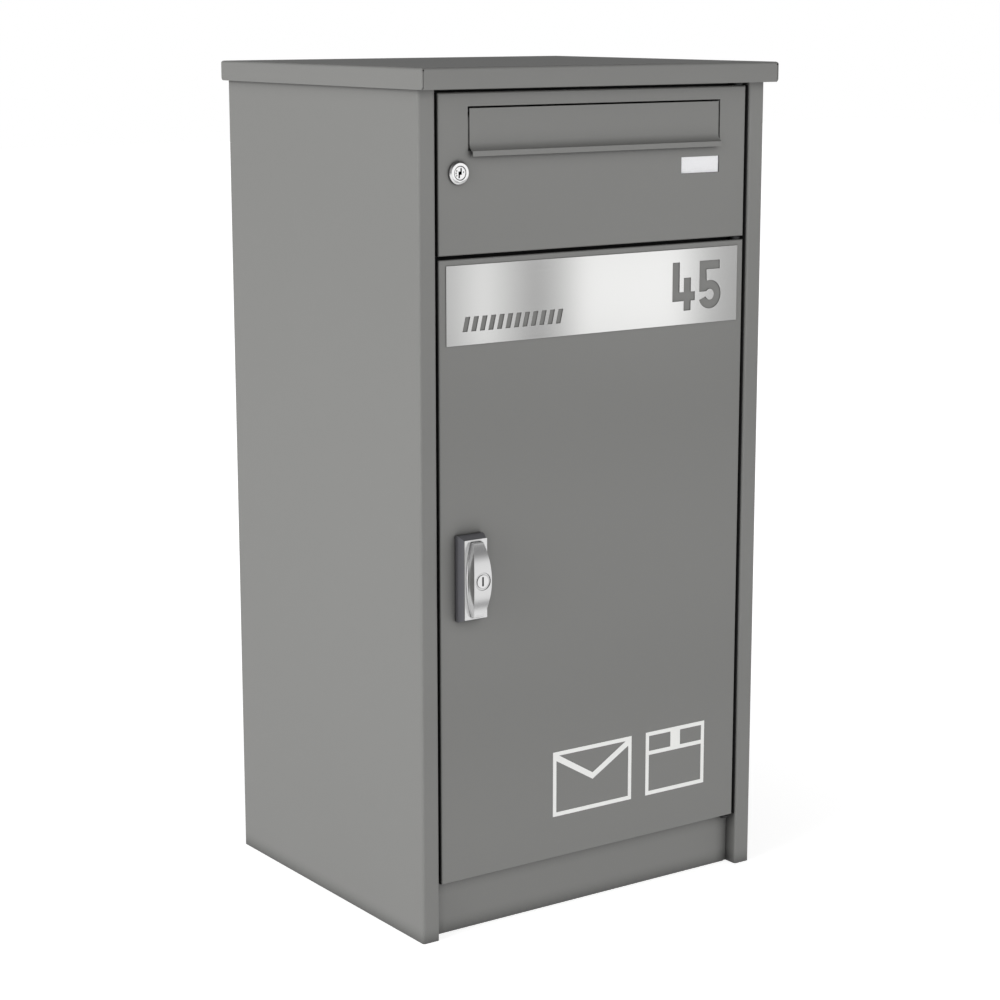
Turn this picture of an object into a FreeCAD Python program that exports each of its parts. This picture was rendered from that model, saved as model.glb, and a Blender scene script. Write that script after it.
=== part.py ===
"""Free-standing letter and parcel box: a folded sheet cabinet with a letter door above a parcel door.

Millimetres, +Z up, front towards -Y. The origin is on the ground, under the middle of the cabinet.
"""
import FreeCAD, Part
import math
import os
from types import SimpleNamespace

import Sketcher

SIDES = (-1, 1)
RIVET_ROWS = 4
MARGIN = 1
TOUCHING = 1e-4
SOME_VOLUME = 1e-6
NEARLY_HALF_TURN = 1.999
MM3_PER_CM3 = 1000

DIMENSIONS = {
    # Cabinet
    "body_width": 493.0,
    "body_depth": 423.0,
    "body_height": 1000.0,
    "sheet": 1.5,
    "bend_radius": 3.0,
    "post_face": 22.5,
    "rear_flange": 22.0,
    "top_flange": 16.0,
    "top_flange_length": 300.0,
    "door_lap": 12.0,
    "weld_gap": 0.2,
    # Hood
    "hood_side_overhang": 6.0,
    "hood_front_overhang": 18.0,
    "hood_rear_overhang": 5.0,
    "hood_skirt": 23.6,
    "seam_gap": 0.5,
    "relief_radius": 1.1,
    "corner_radius": 4.0,
    "stud_radius": 2.5,
    "stud_length": 12.0,
    "stud_inset": 8.0,
    "stud_pitch": 240.0,
    "nut_flats": 8.0,
    "nut_height": 4.0,
    # Base
    "floor_door_bottom": 66.4,
    "plinth_corner": 5.0,
    "plinth_clearance": 1.6,
    "plinth_lap": 14.0,
    "tray_flange": 15.0,
    "anchor_leg": 30.0,
    "anchor_sheet": 2.0,
    "anchor_length": 340.0,
    "anchor_hole_radius": 5.5,
    "anchor_pitch": 300.0,
    "anchor_inset": 15.0,
    "access_radius": 11.0,
    "plug_head_radius": 14.0,
    "plug_head_height": 1.5,
    "plug_head_bevel": 0.6,
    "plug_depth": 6.0,
    # Back panel
    "wall_hole_radius": 4.5,
    "wall_hole_pitch_across": 340.0,
    "wall_hole_low": 200.0,
    "wall_hole_top_margin": 120.0,
    "rivet_radius": 2.0,
    "rivet_head_radius": 4.0,
    "rivet_head_height": 1.2,
    "rivet_crown_radius": 2.8,
    "rivet_tail_radius": 3.2,
    "rivet_low": 100.0,
    "rivet_inset": 12.0,
    # Doors
    "door_setback": 2.0,
    "door_gap": 4.5,
    "door_depth": 14.0,
    "door_return": 12.0,
    "door_bend_radius": 2.0,
    "return_bend_radius": 3.5,
    "upper_door_height": 178.0,
    "hood_door_gap": 4.1,
    "seal_width": 8.0,
    "seal_overhang": 1.9,
    "seal_hinge_gap": 15.0,
    "seal_thickness": 2.5,
    "seal_gap": 0.2,
    "trim_thickness": 1.0,
    # Door hinges
    "hinge_inset": 8.0,
    "hinge_depth": 7.0,
    "lug_thickness": 2.0,
    "lug_gap": 1.0,
    "lug_half_width": 6.5,
    "pin_radius": 2.5,
    "pin_head_radius": 4.5,
    "pin_head_height": 1.6,
    "pin_reach": 6.0,
    "bush_radius": 4.0,
    "bush_flange_radius": 5.2,
    "bush_flange_height": 0.8,
    "bush_depth": 3.5,
    "fit_clearance": 0.05,
    # Letter slot and flap
    "slot_width": 360.0,
    "slot_height": 48.5,
    "slot_top_margin": 15.3,
    "flap_side_gap": 2.4,
    "flap_top_gap": 2.2,
    "flap_sheet": 1.3,
    "flap_cove_rise": 9.8,
    "flap_cove_radius": 10.4,
    "flap_lip_reach": 7.0,
    "flap_lip_drop": 5.9,
    "flap_axis_drop": 4.6,
    "flap_axis_depth": 3.5,
    "flap_ear_inset": 8.0,
    "flap_ear_radius": 3.2,
    "flap_ear_slope": 1.0,
    "rod_radius": 1.5,
    "bracket_width": 12.0,
    "bracket_overlap": 1.0,
    "bracket_reach": 7.0,
    "frame_lap": 3.5,
    "frame_border": 12.0,
    # Name label
    "label_width": 55.2,
    "label_height": 17.3,
    "label_margin": 1.3,
    "label_drop": 35.6,
    "label_rim": 1.0,
    "label_gap": 0.25,
    "card_thickness": 0.5,
    "holder_depth": 3.5,
    "holder_wrap": 4.0,
    # Cam lock of the letter door
    "lock_inset": 26.5,
    "lock_drop": 23.5,
    "lock_flange_radius": 13.0,
    "lock_flange_height": 4.5,
    "lock_bevel": 1.8,
    "lock_body_radius": 9.5,
    "lock_plug_radius": 7.8,
    "lock_plug_recess": 0.4,
    "lock_nose_gap": 0.2,
    "lock_nut_flats": 24.0,
    "lock_nut_height": 4.0,
    "keyway_width": 3.2,
    "keyway_height": 10.4,
    "keyway_notch": 1.1,
    "keyway_step": 1.8,
    "keyway_depth": 12.0,
    "cam_gap": 0.8,
    "cam_thickness": 2.0,
    "cam_width": 13.0,
    "cam_reach": 36.0,
    "cam_stub_radius": 4.0,
    "cam_screw_radius": 1.9,
    "cam_screw_head_radius": 5.0,
    "cam_screw_head_height": 2.4,
    "cam_screw_depth": 8.0,
    "screw_tip_gap": 1.0,
    # Handle of the parcel door
    "handle_inset": 37.9,
    "handle_width": 35.8,
    "handle_length": 100.0,
    "handle_front_width": 30.7,
    "handle_front_length": 92.5,
    "handle_rise": 16.2,
    "handle_step": 5.5,
    "gasket_thickness": 0.6,
    "gasket_inset": 0.4,
    "face_thickness": 1.4,
    "bow_gap": 0.3,
    "bow_rise": 14.0,
    "bow_end_rise": 5.0,
    "bow_length": 87.0,
    "bow_width": 26.6,
    "bow_end_width": 14.0,
    "shaft_radius": 6.0,
    "shaft_hole_clearance": 0.6,
    "shaft_square": 7.9,
    "thread_radius": 3.9,
    "thread_length": 6.5,
    "latch_reach": 42.0,
    "latch_nut_flats": 13.0,
    "latch_nut_height": 5.0,
    "handle_screw_radius": 2.4,
    "handle_screw_clearance": 0.3,
    "handle_screw_pitch": 64.0,
    "handle_screw_depth": 9.0,
    "handle_screw_head_radius": 4.6,
    "handle_screw_head_height": 2.6,
    "key_plug_radius": 7.5,
    "key_plug_depth": 10.0,
    "key_plug_recess": 0.3,
    "key_plug_gap": 0.2,
    "key_slot_width": 2.2,
    "key_slot_height": 10.8,
    "key_slot_depth": 7.0,
    "key_ring_radius": 10.4,
    "key_ring_depth": 1.1,
    # Number plate
    "plate_thickness": 1.0,
    "plate_side_margin": 9.5,
    "plate_top_margin": 6.9,
    "plate_height": 89.5,
    "digit_height": 57.6,
    "digit_width": 34.0,
    "digit_stroke": 10.5,
    "digit_space": 6.0,
    "digit_right_margin": 25.0,
    "digit_low": 16.5,
    "four_bar_rise": 11.5,
    "four_stem_inset": 6.3,
    "four_stem_top": 16.8,
    "five_side_margin": 1.0,
    "five_top_margin": 2.0,
    "five_waist": 3.9,
    "five_waist_inset": 5.2,
    "five_shoulder": 4.8,
    "five_shoulder_rise": 16.3,
    "five_tail_angle": 20.0,
    "tick_count": 12.0,
    "tick_width": 6.5,
    "tick_slant": 4.0,
    "tick_height": 16.5,
    "tick_pitch": 11.7,
    "tick_left_margin": 21.5,
    "tick_low": 15.0,
    # Pictogram
    "decal_thickness": 0.2,
    "decal_height": 80.0,
    "decal_low": 51.0,
    "decal_right_margin": 48.0,
    "decal_stroke": 5.0,
    "parcel_width": 92.0,
    "parcel_lid": 24.0,
    "envelope_width": 118.0,
    "envelope_fold": 40.0,
    "envelope_corner": 9.0,
    "envelope_slope": 6.2,
    "tape_half_width": 7.5,
    "pictogram_space": 22.0,
    # Stiffener of the parcel door
    "stiffener_width": 60.0,
    "stiffener_depth": 9.0,
    "stiffener_foot": 12.0,
    "stiffener_margin": 30.0,
}


class Size:
    """A length as a number and as the spreadsheet expression that gives it."""

    def __init__(self, text, value):
        self.text = text
        self.value = value

    def joined(self, sign, other, swap, value):
        texts = [self.text, str(other.text if isinstance(other, Size) else other)]
        first, second = reversed(texts) if swap else texts
        return Size(f"({first} {sign} {second})", value)

    def __add__(self, other):
        return self.joined("+", other, False, self.value + number(other))

    def __radd__(self, other):
        return self.joined("+", other, True, other + self.value)

    def __sub__(self, other):
        return self.joined("-", other, False, self.value - number(other))

    def __rsub__(self, other):
        return self.joined("-", other, True, other - self.value)

    def __mul__(self, other):
        return self.joined("*", other, False, self.value * number(other))

    def __rmul__(self, other):
        return self.joined("*", other, True, other * self.value)

    def __truediv__(self, other):
        return self.joined("/", other, False, self.value / number(other))

    def __neg__(self):
        return Size(f"(0 - {self.text})", -self.value)


def number(length):
    """The plain number of a Size or of a number."""
    return length.value if isinstance(length, Size) else float(length)


def root(length):
    """Square root of a squared Size."""
    return Size(f"sqrt({length.text})", math.sqrt(length.value))


doc = FreeCAD.newDocument("letter_and_parcel_box")
sheet = doc.addObject("Spreadsheet::Sheet", "sizes")
for row, (alias, value) in enumerate(DIMENSIONS.items(), start=1):
    sheet.set(f"A{row}", alias)
    sheet.set(f"B{row}", str(value))
    sheet.setAlias(f"B{row}", alias)
doc.recompute()
D = SimpleNamespace(**{alias: Size(f"sizes.{alias}", value) for alias, value in DIMENSIONS.items()})
ZERO = Size("0", 0.0)
pieces = []


# ---------------------------------------------------------------- modelling helpers


def bind(thing, name, length):
    """Tie a property to the spreadsheet, or set it where it is a plain number."""
    if isinstance(length, Size):
        thing.setExpression(name, length.text)
    else:
        thing.setExpression(name, str(length))


def place(thing, at):
    """Tie the placement of a sub-part."""
    for axis, length in zip("xyz", at):
        bind(thing, f"Placement.Base.{axis}", length)


def new_body(name, at=(0, 0, 0)):
    """A new named sub-part at a place."""
    body = doc.addObject("PartDesign::Body", name)
    body.Label = name
    place(body, at)
    pieces.append(body)
    return body


def new_box(name, low, high):
    """A plain rectangular sub-part between two corners."""
    box = doc.addObject("Part::Box", name)
    box.Label = name
    for side, start, end in zip(("Length", "Width", "Height"), low, high):
        bind(box, side, end - start)
    place(box, low)
    pieces.append(box)
    return box


def origin_feature(body, role):
    """One of a body's own origin planes or axes."""
    return next(item for item in body.Origin.OriginFeatures if item.Role == role)


def new_sketch(body, plane, level):
    """An empty sketch on the XY, XZ or YZ plane, moved along +Z, +Y or +X to a level."""
    sketch = body.newObject("Sketcher::SketchObject", f"{body.Name}_sketch")
    sketch.AttachmentSupport = [(origin_feature(body, f"{plane}_Plane"), "")]
    sketch.MapMode = "FlatFace"
    bind(sketch, "AttachmentOffset.Base.z", ZERO - level if plane == "XZ" else ZERO + level)
    return sketch


def fix_point(sketch, item, end, x, y):
    """Hold one end of a sketch line or arc at a place."""
    for kind, length in (("DistanceX", x), ("DistanceY", y)):
        index = sketch.addConstraint(Sketcher.Constraint(kind, -1, 1, item, end, number(length)))
        bind(sketch, f"Constraints[{index}]", length)


def arc_between(start, end, radius, turn, large):
    """Arc of a circle from start to end; turn is 1 anticlockwise or -1 clockwise."""
    across = end - start
    side = FreeCAD.Vector(-across.y, across.x, 0).normalize()
    rise = math.sqrt(max(radius ** 2 - (across.Length / 2) ** 2, 0.0))
    centre = (start + end) / 2 + side * rise * turn * (-1 if large else 1)
    first, last = (start, end) if turn > 0 else (end, start)
    angles = [math.atan2(spot.y - centre.y, spot.x - centre.x) for spot in (first, last)]
    circle = Part.Circle(centre, FreeCAD.Vector(0, 0, 1), radius)
    return Part.ArcOfCircle(circle, angles[0], angles[1] + (2 * math.pi if angles[1] < angles[0] else 0))


def hold_arc(sketch, item, step, chord):
    """Hold an arc's radius, or the centre of a half circle on its level or upright chord."""
    if chord.Length < number(step[2]) * NEARLY_HALF_TURN:
        held = sketch.addConstraint(Sketcher.Constraint("Radius", item, number(step[2])))
        bind(sketch, f"Constraints[{held}]", step[2])
        return
    kind, length = ("DistanceY", step[1]) if abs(chord.y) < abs(chord.x) else ("DistanceX", step[0])
    held = sketch.addConstraint(Sketcher.Constraint(kind, -1, 1, item, 3, number(length)))
    bind(sketch, f"Constraints[{held}]", length)


def draw(sketch, path):
    """Closed outline: (x, y) starts a line, (x, y, radius, turn[, "large"]) starts an arc."""
    spots = [FreeCAD.Vector(number(step[0]), number(step[1]), 0) for step in path]
    items = []
    for index, step in enumerate(path):
        start, end = spots[index], spots[(index + 1) % len(path)]
        if len(step) == 2:
            items.append((sketch.addGeometry(Part.LineSegment(start, end), False), 1, 2))
        else:
            arc = arc_between(start, end, number(step[2]), step[3], len(step) > 4)
            item = sketch.addGeometry(arc, False)
            items.append((item, 1, 2) if step[3] > 0 else (item, 2, 1))
    for index, step in enumerate(path):
        item, start, end = items[index]
        following, next_start, _ = items[(index + 1) % len(path)]
        sketch.addConstraint(Sketcher.Constraint("Coincident", item, end, following, next_start))
        fix_point(sketch, item, start, step[0], step[1])
        if len(step) > 2:
            hold_arc(sketch, item, step, spots[(index + 1) % len(path)] - spots[index])


def rectangle(left, low, right, high):
    """The outline of an upright rectangle."""
    return [(left, low), (right, low), (right, high), (left, high)]


def hexagon(flats, x=ZERO, y=ZERO):
    """The outline of a hexagon by its width across flats."""
    reach = flats / math.sqrt(3)
    turns = [math.radians(60 * corner) for corner in range(6)]
    return [(x + reach * math.cos(turn), y + reach * math.sin(turn)) for turn in turns]


def draw_circle(sketch, x, y, radius):
    """A full circle."""
    circle = Part.Circle(FreeCAD.Vector(number(x), number(y), 0), FreeCAD.Vector(0, 0, 1), number(radius))
    item = sketch.addGeometry(circle, False)
    fix_point(sketch, item, 3, x, y)
    held = sketch.addConstraint(Sketcher.Constraint("Radius", item, number(radius)))
    bind(sketch, f"Constraints[{held}]", radius)


def extrude(kind, body, plane, level, length, loops, circles=()):
    """Pad (towards +X, +Y, +Z) or Pocket (the same way) a set of outlines from a level of a plane."""
    sketch = new_sketch(body, plane, level)
    for path in loops:
        draw(sketch, path)
    for x, y, radius in circles:
        draw_circle(sketch, x, y, radius)
    before = body.Shape.Volume if body.Tip else 0.0
    feature = body.newObject(f"PartDesign::{kind}", f"{body.Name}_{kind.lower()}")
    feature.Profile = sketch
    feature.Reversed = (plane == "XZ") == (kind == "Pad")
    bind(feature, "Length", length)
    doc.recompute()
    if "Invalid" in feature.State or "Invalid" in sketch.State:
        raise RuntimeError(f"{body.Label}: {feature.Label} is {feature.State}, its sketch {sketch.State}")
    if kind == "Pocket" and feature.Shape.Volume > before - SOME_VOLUME:
        raise RuntimeError(f"{body.Label}: a pocket cuts nothing")
    return feature


def add(body, plane, level, length, loops, circles=()):
    """Add material."""
    return extrude("Pad", body, plane, level, length, loops, circles)


def cut(body, plane, level, length, loops, circles=()):
    """Take material away."""
    return extrude("Pocket", body, plane, level, length, loops, circles)


def turned(name, plane, loops, at):
    """A turned sub-part: outlines (radius, height) spun about Z on XZ, or about Y on XY."""
    body = new_body(name, at)
    sketch = new_sketch(body, plane, ZERO)
    for path in loops:
        draw(sketch, path)
    spin = body.newObject("PartDesign::Revolution", f"{name}_spin")
    spin.Profile = sketch
    spin.ReferenceAxis = (sketch, ["V_Axis"])
    spin.Angle = 360
    doc.recompute()
    return body


def repeat(body, axis, count, pitch, second_axis=None, second_count=1, second_pitch=ZERO):
    """Repeat the whole body's last feature along one or two of its own axes."""
    pattern = body.newObject("PartDesign::LinearPattern", f"{body.Name}_pattern")
    pattern.Originals = [body.Tip]
    pattern.Direction = (origin_feature(body, f"{axis}_Axis"), [""])
    pattern.Occurrences = count
    bind(pattern, "Length", pitch * (count - 1))
    if second_axis:
        pattern.Direction2 = (origin_feature(body, f"{second_axis}_Axis"), [""])
        pattern.Occurrences2 = second_count
        bind(pattern, "Length2", second_pitch * (second_count - 1))
    body.Tip = pattern
    doc.recompute()


def edges_along(shape, axis, spots):
    """Names of the edges parallel to an axis at the given places across it."""
    across = {"X": ("y", "z"), "Y": ("x", "z"), "Z": ("x", "y")}[axis]
    names = []
    for index, edge in enumerate(shape.Edges, start=1):
        ends = [vertex.Point for vertex in edge.Vertexes]
        for spot in spots:
            wanted = [number(length) for length in spot]
            gaps = [abs(getattr(end, side) - at) for end in ends for side, at in zip(across, wanted)]
            if len(ends) == 2 and max(gaps) < TOUCHING:
                names.append(f"Edge{index}")
    return names


def round_edges(body, radius, picks):
    """Fillet the edges that lie along axes at given places."""
    base = body.Tip
    names = [name for axis, spots in picks for name in edges_along(base.Shape, axis, spots)]
    feature = body.newObject("PartDesign::Fillet", f"{body.Name}_fillet")
    feature.Base = (base, names)
    bind(feature, "Radius", radius)
    doc.recompute()


# ---------------------------------------------------------------- shared places

half_width = D.body_width / 2
front = ZERO - D.body_depth / 2
back = D.body_depth / 2
inner_wall = half_width - D.sheet
hood_underside = D.body_height - D.sheet
rivet_pitch = (hood_underside - D.rivet_low * 2) / (RIVET_ROWS - 1)
skirt_low = D.body_height - D.hood_skirt
post_inner = half_width - D.post_face
post_return = D.door_setback + D.door_depth + D.seal_thickness
stop_face = front + post_return
stop_back = stop_face + D.sheet
door_half = post_inner - D.door_gap
stop_tip = door_half - D.door_lap
door_face = front + D.door_setback
door_back = door_face + D.door_depth
back_panel_face = back - D.sheet * 2

lower_bottom = D.floor_door_bottom
upper_top = skirt_low - D.hood_door_gap
upper_bottom = upper_top - D.upper_door_height
lower_top = upper_bottom - D.lug_thickness - D.lug_gap * 2
floor_top = lower_bottom + D.door_lap
shelf_top = upper_bottom + D.door_lap

hinge_x = door_half - D.hinge_inset
hinge_y = door_face + D.hinge_depth
cam_front = post_return + D.sheet - D.door_setback + D.cam_gap
cam_back = cam_front + D.cam_thickness


# ---------------------------------------------------------------- cabinet


def side_panel(name, side):
    """Side wall, post, door stop and rear flange folded from one sheet; side is 1 right, -1 left."""
    body = new_body(name)
    strip = [
        (stop_tip, stop_face),
        (post_inner, stop_face),
        (post_inner, front),
        (half_width, front),
        (half_width, back),
        (half_width - D.rear_flange, back),
        (half_width - D.rear_flange, back - D.sheet),
        (inner_wall, back - D.sheet),
        (inner_wall, front + D.sheet),
        (post_inner + D.sheet, front + D.sheet),
        (post_inner + D.sheet, stop_back),
        (stop_tip, stop_back),
    ]
    outer = [strip[2], strip[3], strip[4], strip[10]]
    inner = [strip[1], strip[7], strip[8], strip[9]]
    add(body, "XY", ZERO, hood_underside, [mirrored(strip, side)])
    round_edges(body, D.bend_radius, [("Z", mirrored(outer, side))])
    round_edges(body, D.bend_radius - D.sheet, [("Z", mirrored(inner, side))])
    reach = D.top_flange_length / 2
    flange = rectangle(inner_wall - D.top_flange, ZERO - reach, inner_wall + D.sheet / 2, reach)
    stud_x = inner_wall - D.stud_inset
    holes = [(stud_x * side, D.stud_pitch / 2 * end, D.stud_radius + D.fit_clearance) for end in SIDES]
    add(body, "XY", hood_underside - D.sheet, D.sheet, [mirrored(flange, side)], holes)
    cut(body, "XZ", back - D.sheet - MARGIN, D.sheet + MARGIN * 2, [], rivet_holes(side))


def rivet_holes(side):
    """The row of rivet holes up one side of the back."""
    bore = D.rivet_radius + D.fit_clearance
    x = (half_width - D.rivet_inset) * side
    return [(x, D.rivet_low + rivet_pitch * step, bore) for step in range(RIVET_ROWS)]


def mirrored(path, side):
    """The path, or its mirror image across the middle plane."""
    return [(step[0] * side, *step[1:]) for step in path]


def tray(name, top, front_low, holes=()):
    """Horizontal sheet with a deep front flange that the doors close against."""
    body = new_body(name)
    front_half = stop_tip - D.weld_gap
    wide_half = inner_wall - D.weld_gap
    wide_front = stop_back + D.weld_gap
    rear = back_panel_face - D.weld_gap
    sheet_path = [
        (ZERO - front_half, stop_face),
        (front_half, stop_face),
        (front_half, wide_front),
        (wide_half, wide_front),
        (wide_half, rear),
        (ZERO - wide_half, rear),
        (ZERO - wide_half, wide_front),
        (ZERO - front_half, wide_front),
    ]
    add(body, "XY", top - D.sheet, D.sheet, [sheet_path], holes)
    apron = rectangle(ZERO - front_half, stop_face, front_half, stop_back)
    add(body, "XY", front_low, top - front_low, [apron])
    low = top - D.tray_flange
    for side in SIDES:
        flange = rectangle(wide_half - D.sheet, wide_front + D.tray_flange, wide_half, rear)
        add(body, "XY", low, D.tray_flange, [mirrored(flange, side)])
    add(body, "XY", low, D.tray_flange, [rectangle(ZERO - wide_half, rear - D.sheet, wide_half, rear)])
    round_edges(body, D.bend_radius, [("X", [(stop_face, top), (rear, top)])])


def plinth():
    """Kick panel between the posts, with rounded lower corners."""
    reach = post_inner - D.plinth_clearance
    body = new_body("plinth")
    face = rectangle(ZERO - reach, ZERO, reach, plinth_top)
    add(body, "XZ", stop_face - D.sheet, D.sheet, [face])
    round_edges(body, D.plinth_corner, [("Y", [(ZERO - reach, ZERO), (reach, ZERO)])])


def top_rail():
    """Angle across the front under the hood, the upper stop of the letter door."""
    body = new_body("top_rail")
    reach = stop_tip - D.weld_gap
    low = upper_top - D.door_lap
    add(body, "XZ", stop_face, D.sheet, [rectangle(ZERO - reach, low, reach, hood_underside)])
    ledge = rectangle(ZERO - reach, stop_face, reach, stop_face + D.tray_flange)
    add(body, "XY", hood_underside - D.sheet, D.sheet, [ledge])


def anchor_angle(name, side):
    """Angle inside the base with the floor bolt holes."""
    body = new_body(name)
    inner = inner_wall - D.weld_gap
    section = [
        (inner - D.anchor_leg, ZERO),
        (inner, ZERO),
        (inner, D.anchor_leg),
        (inner - D.anchor_sheet, D.anchor_leg),
        (inner - D.anchor_sheet, D.anchor_sheet),
        (inner - D.anchor_leg, D.anchor_sheet),
    ]
    add(body, "XZ", ZERO - D.anchor_length / 2, D.anchor_length, [mirrored(section, side)])
    holes = [(anchor_x * side, D.anchor_pitch / 2 * end, D.anchor_hole_radius) for end in SIDES]
    cut(body, "XY", ZERO - MARGIN, D.anchor_sheet + MARGIN * 2, [], holes)


def back_panel():
    """Flat rear wall inside the side panels' flanges, with the wall fixing holes."""
    body = new_body("back_panel")
    reach = inner_wall - (D.bend_radius - D.sheet)
    levels = (D.wall_hole_low, D.body_height - D.wall_hole_top_margin)
    across = D.wall_hole_pitch_across / 2
    fixings = [(across * side, level, D.wall_hole_radius) for side in SIDES for level in levels]
    face = rectangle(ZERO - reach, ZERO, reach, hood_underside)
    add(body, "XZ", back_panel_face, D.sheet, [face], rivet_holes(-1) + rivet_holes(1) + fixings)


def back_rivets():
    """Blind rivets that join the back panel to the side panels."""
    profile = [
        (ZERO, back_panel_face - D.rivet_head_height),
        (D.rivet_tail_radius, back_panel_face - D.rivet_head_height),
        (D.rivet_tail_radius, back_panel_face),
        (D.rivet_radius, back_panel_face),
        (D.rivet_radius, back),
        (D.rivet_head_radius, back),
        (D.rivet_crown_radius, back + D.rivet_head_height),
        (ZERO, back + D.rivet_head_height),
    ]
    rivet_x = half_width - D.rivet_inset
    body = turned("back_rivets", "XY", [profile], (ZERO - rivet_x, ZERO, D.rivet_low))
    repeat(body, "X", 2, rivet_x * 2, "Z", RIVET_ROWS, rivet_pitch)


def floor_plugs():
    """Plastic plugs in the access holes over the floor bolts."""
    shank = D.access_radius - D.fit_clearance
    profile = [
        (ZERO, floor_top - D.plug_depth),
        (shank, floor_top - D.plug_depth),
        (shank, floor_top),
        (D.plug_head_radius, floor_top),
        (D.plug_head_radius - D.plug_head_bevel, floor_top + D.plug_head_height),
        (ZERO, floor_top + D.plug_head_height),
    ]
    body = turned("floor_plugs", "XZ", [profile], (ZERO - anchor_x, ZERO - D.anchor_pitch / 2, ZERO))
    repeat(body, "X", 2, anchor_x * 2, "Y", 2, D.anchor_pitch)


def hood():
    """Roof folded from one sheet: open seams beside the side skirts, with relief holes at their tops."""
    body = new_body("hood")
    side = half_width + D.hood_side_overhang
    near = front - D.hood_front_overhang
    far = back + D.hood_rear_overhang
    top = D.body_height
    wall = D.sheet
    add(body, "XY", skirt_low, D.hood_skirt, [rectangle(ZERO - side, near, side, far)])
    room = rectangle(wall - side, near + wall, side - wall, far - wall)
    cut(body, "XY", skirt_low, D.hood_skirt - wall, [room])
    rims = [("X", [(near, top), (far, top)]), ("Y", [(side, top), (ZERO - side, top)])]
    round_edges(body, D.bend_radius, rims)
    inner_top = hood_underside
    spots_x = [(near + wall, inner_top), (far - wall, inner_top)]
    spots_y = [(side - wall, inner_top), (wall - side, inner_top)]
    round_edges(body, D.bend_radius - wall, [("X", spots_x), ("Y", spots_y)])
    seam_top = top - D.bend_radius
    reach = side - wall
    left_seam = rectangle(ZERO - reach, skirt_low - MARGIN, D.seam_gap - reach, seam_top)
    right_seam = rectangle(reach - D.seam_gap, skirt_low - MARGIN, reach, seam_top)
    middle = reach - D.seam_gap / 2
    holes = [(middle * way, seam_top, D.relief_radius) for way in SIDES]
    for skirt in (near - MARGIN, far - wall):
        cut(body, "XZ", skirt, wall + MARGIN, [left_seam, right_seam])
        cut(body, "XZ", skirt, wall + MARGIN, [], holes)
    corners = [hood_corner(near, 1), hood_corner(far, -1)]
    for start in (ZERO - side - MARGIN, side - wall):
        cut(body, "YZ", start, wall + MARGIN, corners)


def hood_corner(edge, inward):
    """What is cut away to round the lower corner of a side skirt at its front or rear edge."""
    radius = D.corner_radius
    outside = edge - MARGIN * inward
    below = skirt_low - MARGIN
    return [
        (outside, below),
        (edge + radius * inward, below),
        (edge + radius * inward, skirt_low, radius, -inward),
        (edge, skirt_low + radius),
        (outside, skirt_low + radius),
    ]


def hood_fixings():
    """Studs under the hood and the nuts that clamp it to the side panels' top flanges."""
    stud_x = inner_wall - D.stud_inset
    corner = (ZERO - stud_x, ZERO - D.stud_pitch / 2, ZERO)
    profile = rectangle(ZERO, hood_underside - D.stud_length, D.stud_radius, hood_underside)
    studs = turned("hood_studs", "XZ", [profile], corner)
    repeat(studs, "X", 2, stud_x * 2, "Y", 2, D.stud_pitch)
    nuts = new_body("hood_nuts", corner)
    hole = [(ZERO, ZERO, D.stud_radius + D.fit_clearance)]
    nut_low = hood_underside - D.sheet - D.nut_height
    add(nuts, "XY", nut_low, D.nut_height, [hexagon(D.nut_flats)], hole)
    repeat(nuts, "X", 2, stud_x * 2, "Y", 2, D.stud_pitch)


def door_seal(name, low, high):
    """Foam seal on three sides of a door opening, left off where the door swings in at its hinge."""
    body = new_body(name)
    outer = door_half + D.seal_overhang
    inner = outer - D.seal_width
    end = door_half - D.seal_hinge_gap
    bottom = low - D.seal_overhang
    top = high + D.seal_overhang
    path = [
        (ZERO - outer, bottom),
        (end, bottom),
        (end, bottom + D.seal_width),
        (ZERO - inner, bottom + D.seal_width),
        (ZERO - inner, top - D.seal_width),
        (end, top - D.seal_width),
        (end, top),
        (ZERO - outer, top),
    ]
    start = door_back + D.seal_gap
    add(body, "XZ", start, stop_face - start, [path])


def hinge_trim():
    """Black strip that closes the gap beside the doors' hinge edges, stuck to the right post's return."""
    low = (post_inner - D.trim_thickness, front + D.bend_radius, lower_bottom)
    high = (post_inner, stop_face - D.bend_radius + D.sheet, upper_top)
    new_box("hinge_gap_trim", low, high)


# ---------------------------------------------------------------- door hinges


def hinge_lug(name, low):
    """Welded lug that carries a hinge pin in front of the right door stop."""
    body = new_body(name, (hinge_x, hinge_y, ZERO))
    reach = stop_face - hinge_y
    width = D.lug_half_width
    path = [(ZERO - width, reach), (ZERO - width, ZERO, width, 1), (width, ZERO), (width, reach)]
    add(body, "XY", low, D.lug_thickness, [path], [(ZERO, ZERO, D.pin_radius + D.fit_clearance)])


def hinge_pin(name, low, high, head=None):
    """Steel pin through a lug; head gives the level of the head's seat and its outer level."""
    profile = rectangle(ZERO, low, D.pin_radius, high)
    if head:
        seat, rim = head
        neck = [(D.pin_radius, seat), (D.pin_head_radius, seat), (D.pin_head_radius, rim), (ZERO, rim)]
        if number(rim) > number(seat):
            profile = [(ZERO, low), (D.pin_radius, low), *neck]
        else:
            profile = [*neck[::-1], (D.pin_radius, high), (ZERO, high)]
    turned(name, "XZ", [profile], (hinge_x, hinge_y, ZERO))


def door_bushes(name, low, high):
    """Flanged bushes in a door's bottom and top edges."""
    bore = D.pin_radius + D.fit_clearance
    loops = []
    for level, way in ((low, 1), (high, -1)):
        outside = level - D.bush_flange_height * way
        inside = level + D.bush_depth * way
        loops.append(
            [
                (bore, outside),
                (D.bush_flange_radius, outside),
                (D.bush_flange_radius, level),
                (D.bush_radius, level),
                (D.bush_radius, inside),
                (bore, inside),
            ]
        )
    turned(name, "XZ", loops, (hinge_x, hinge_y, ZERO))


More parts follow.
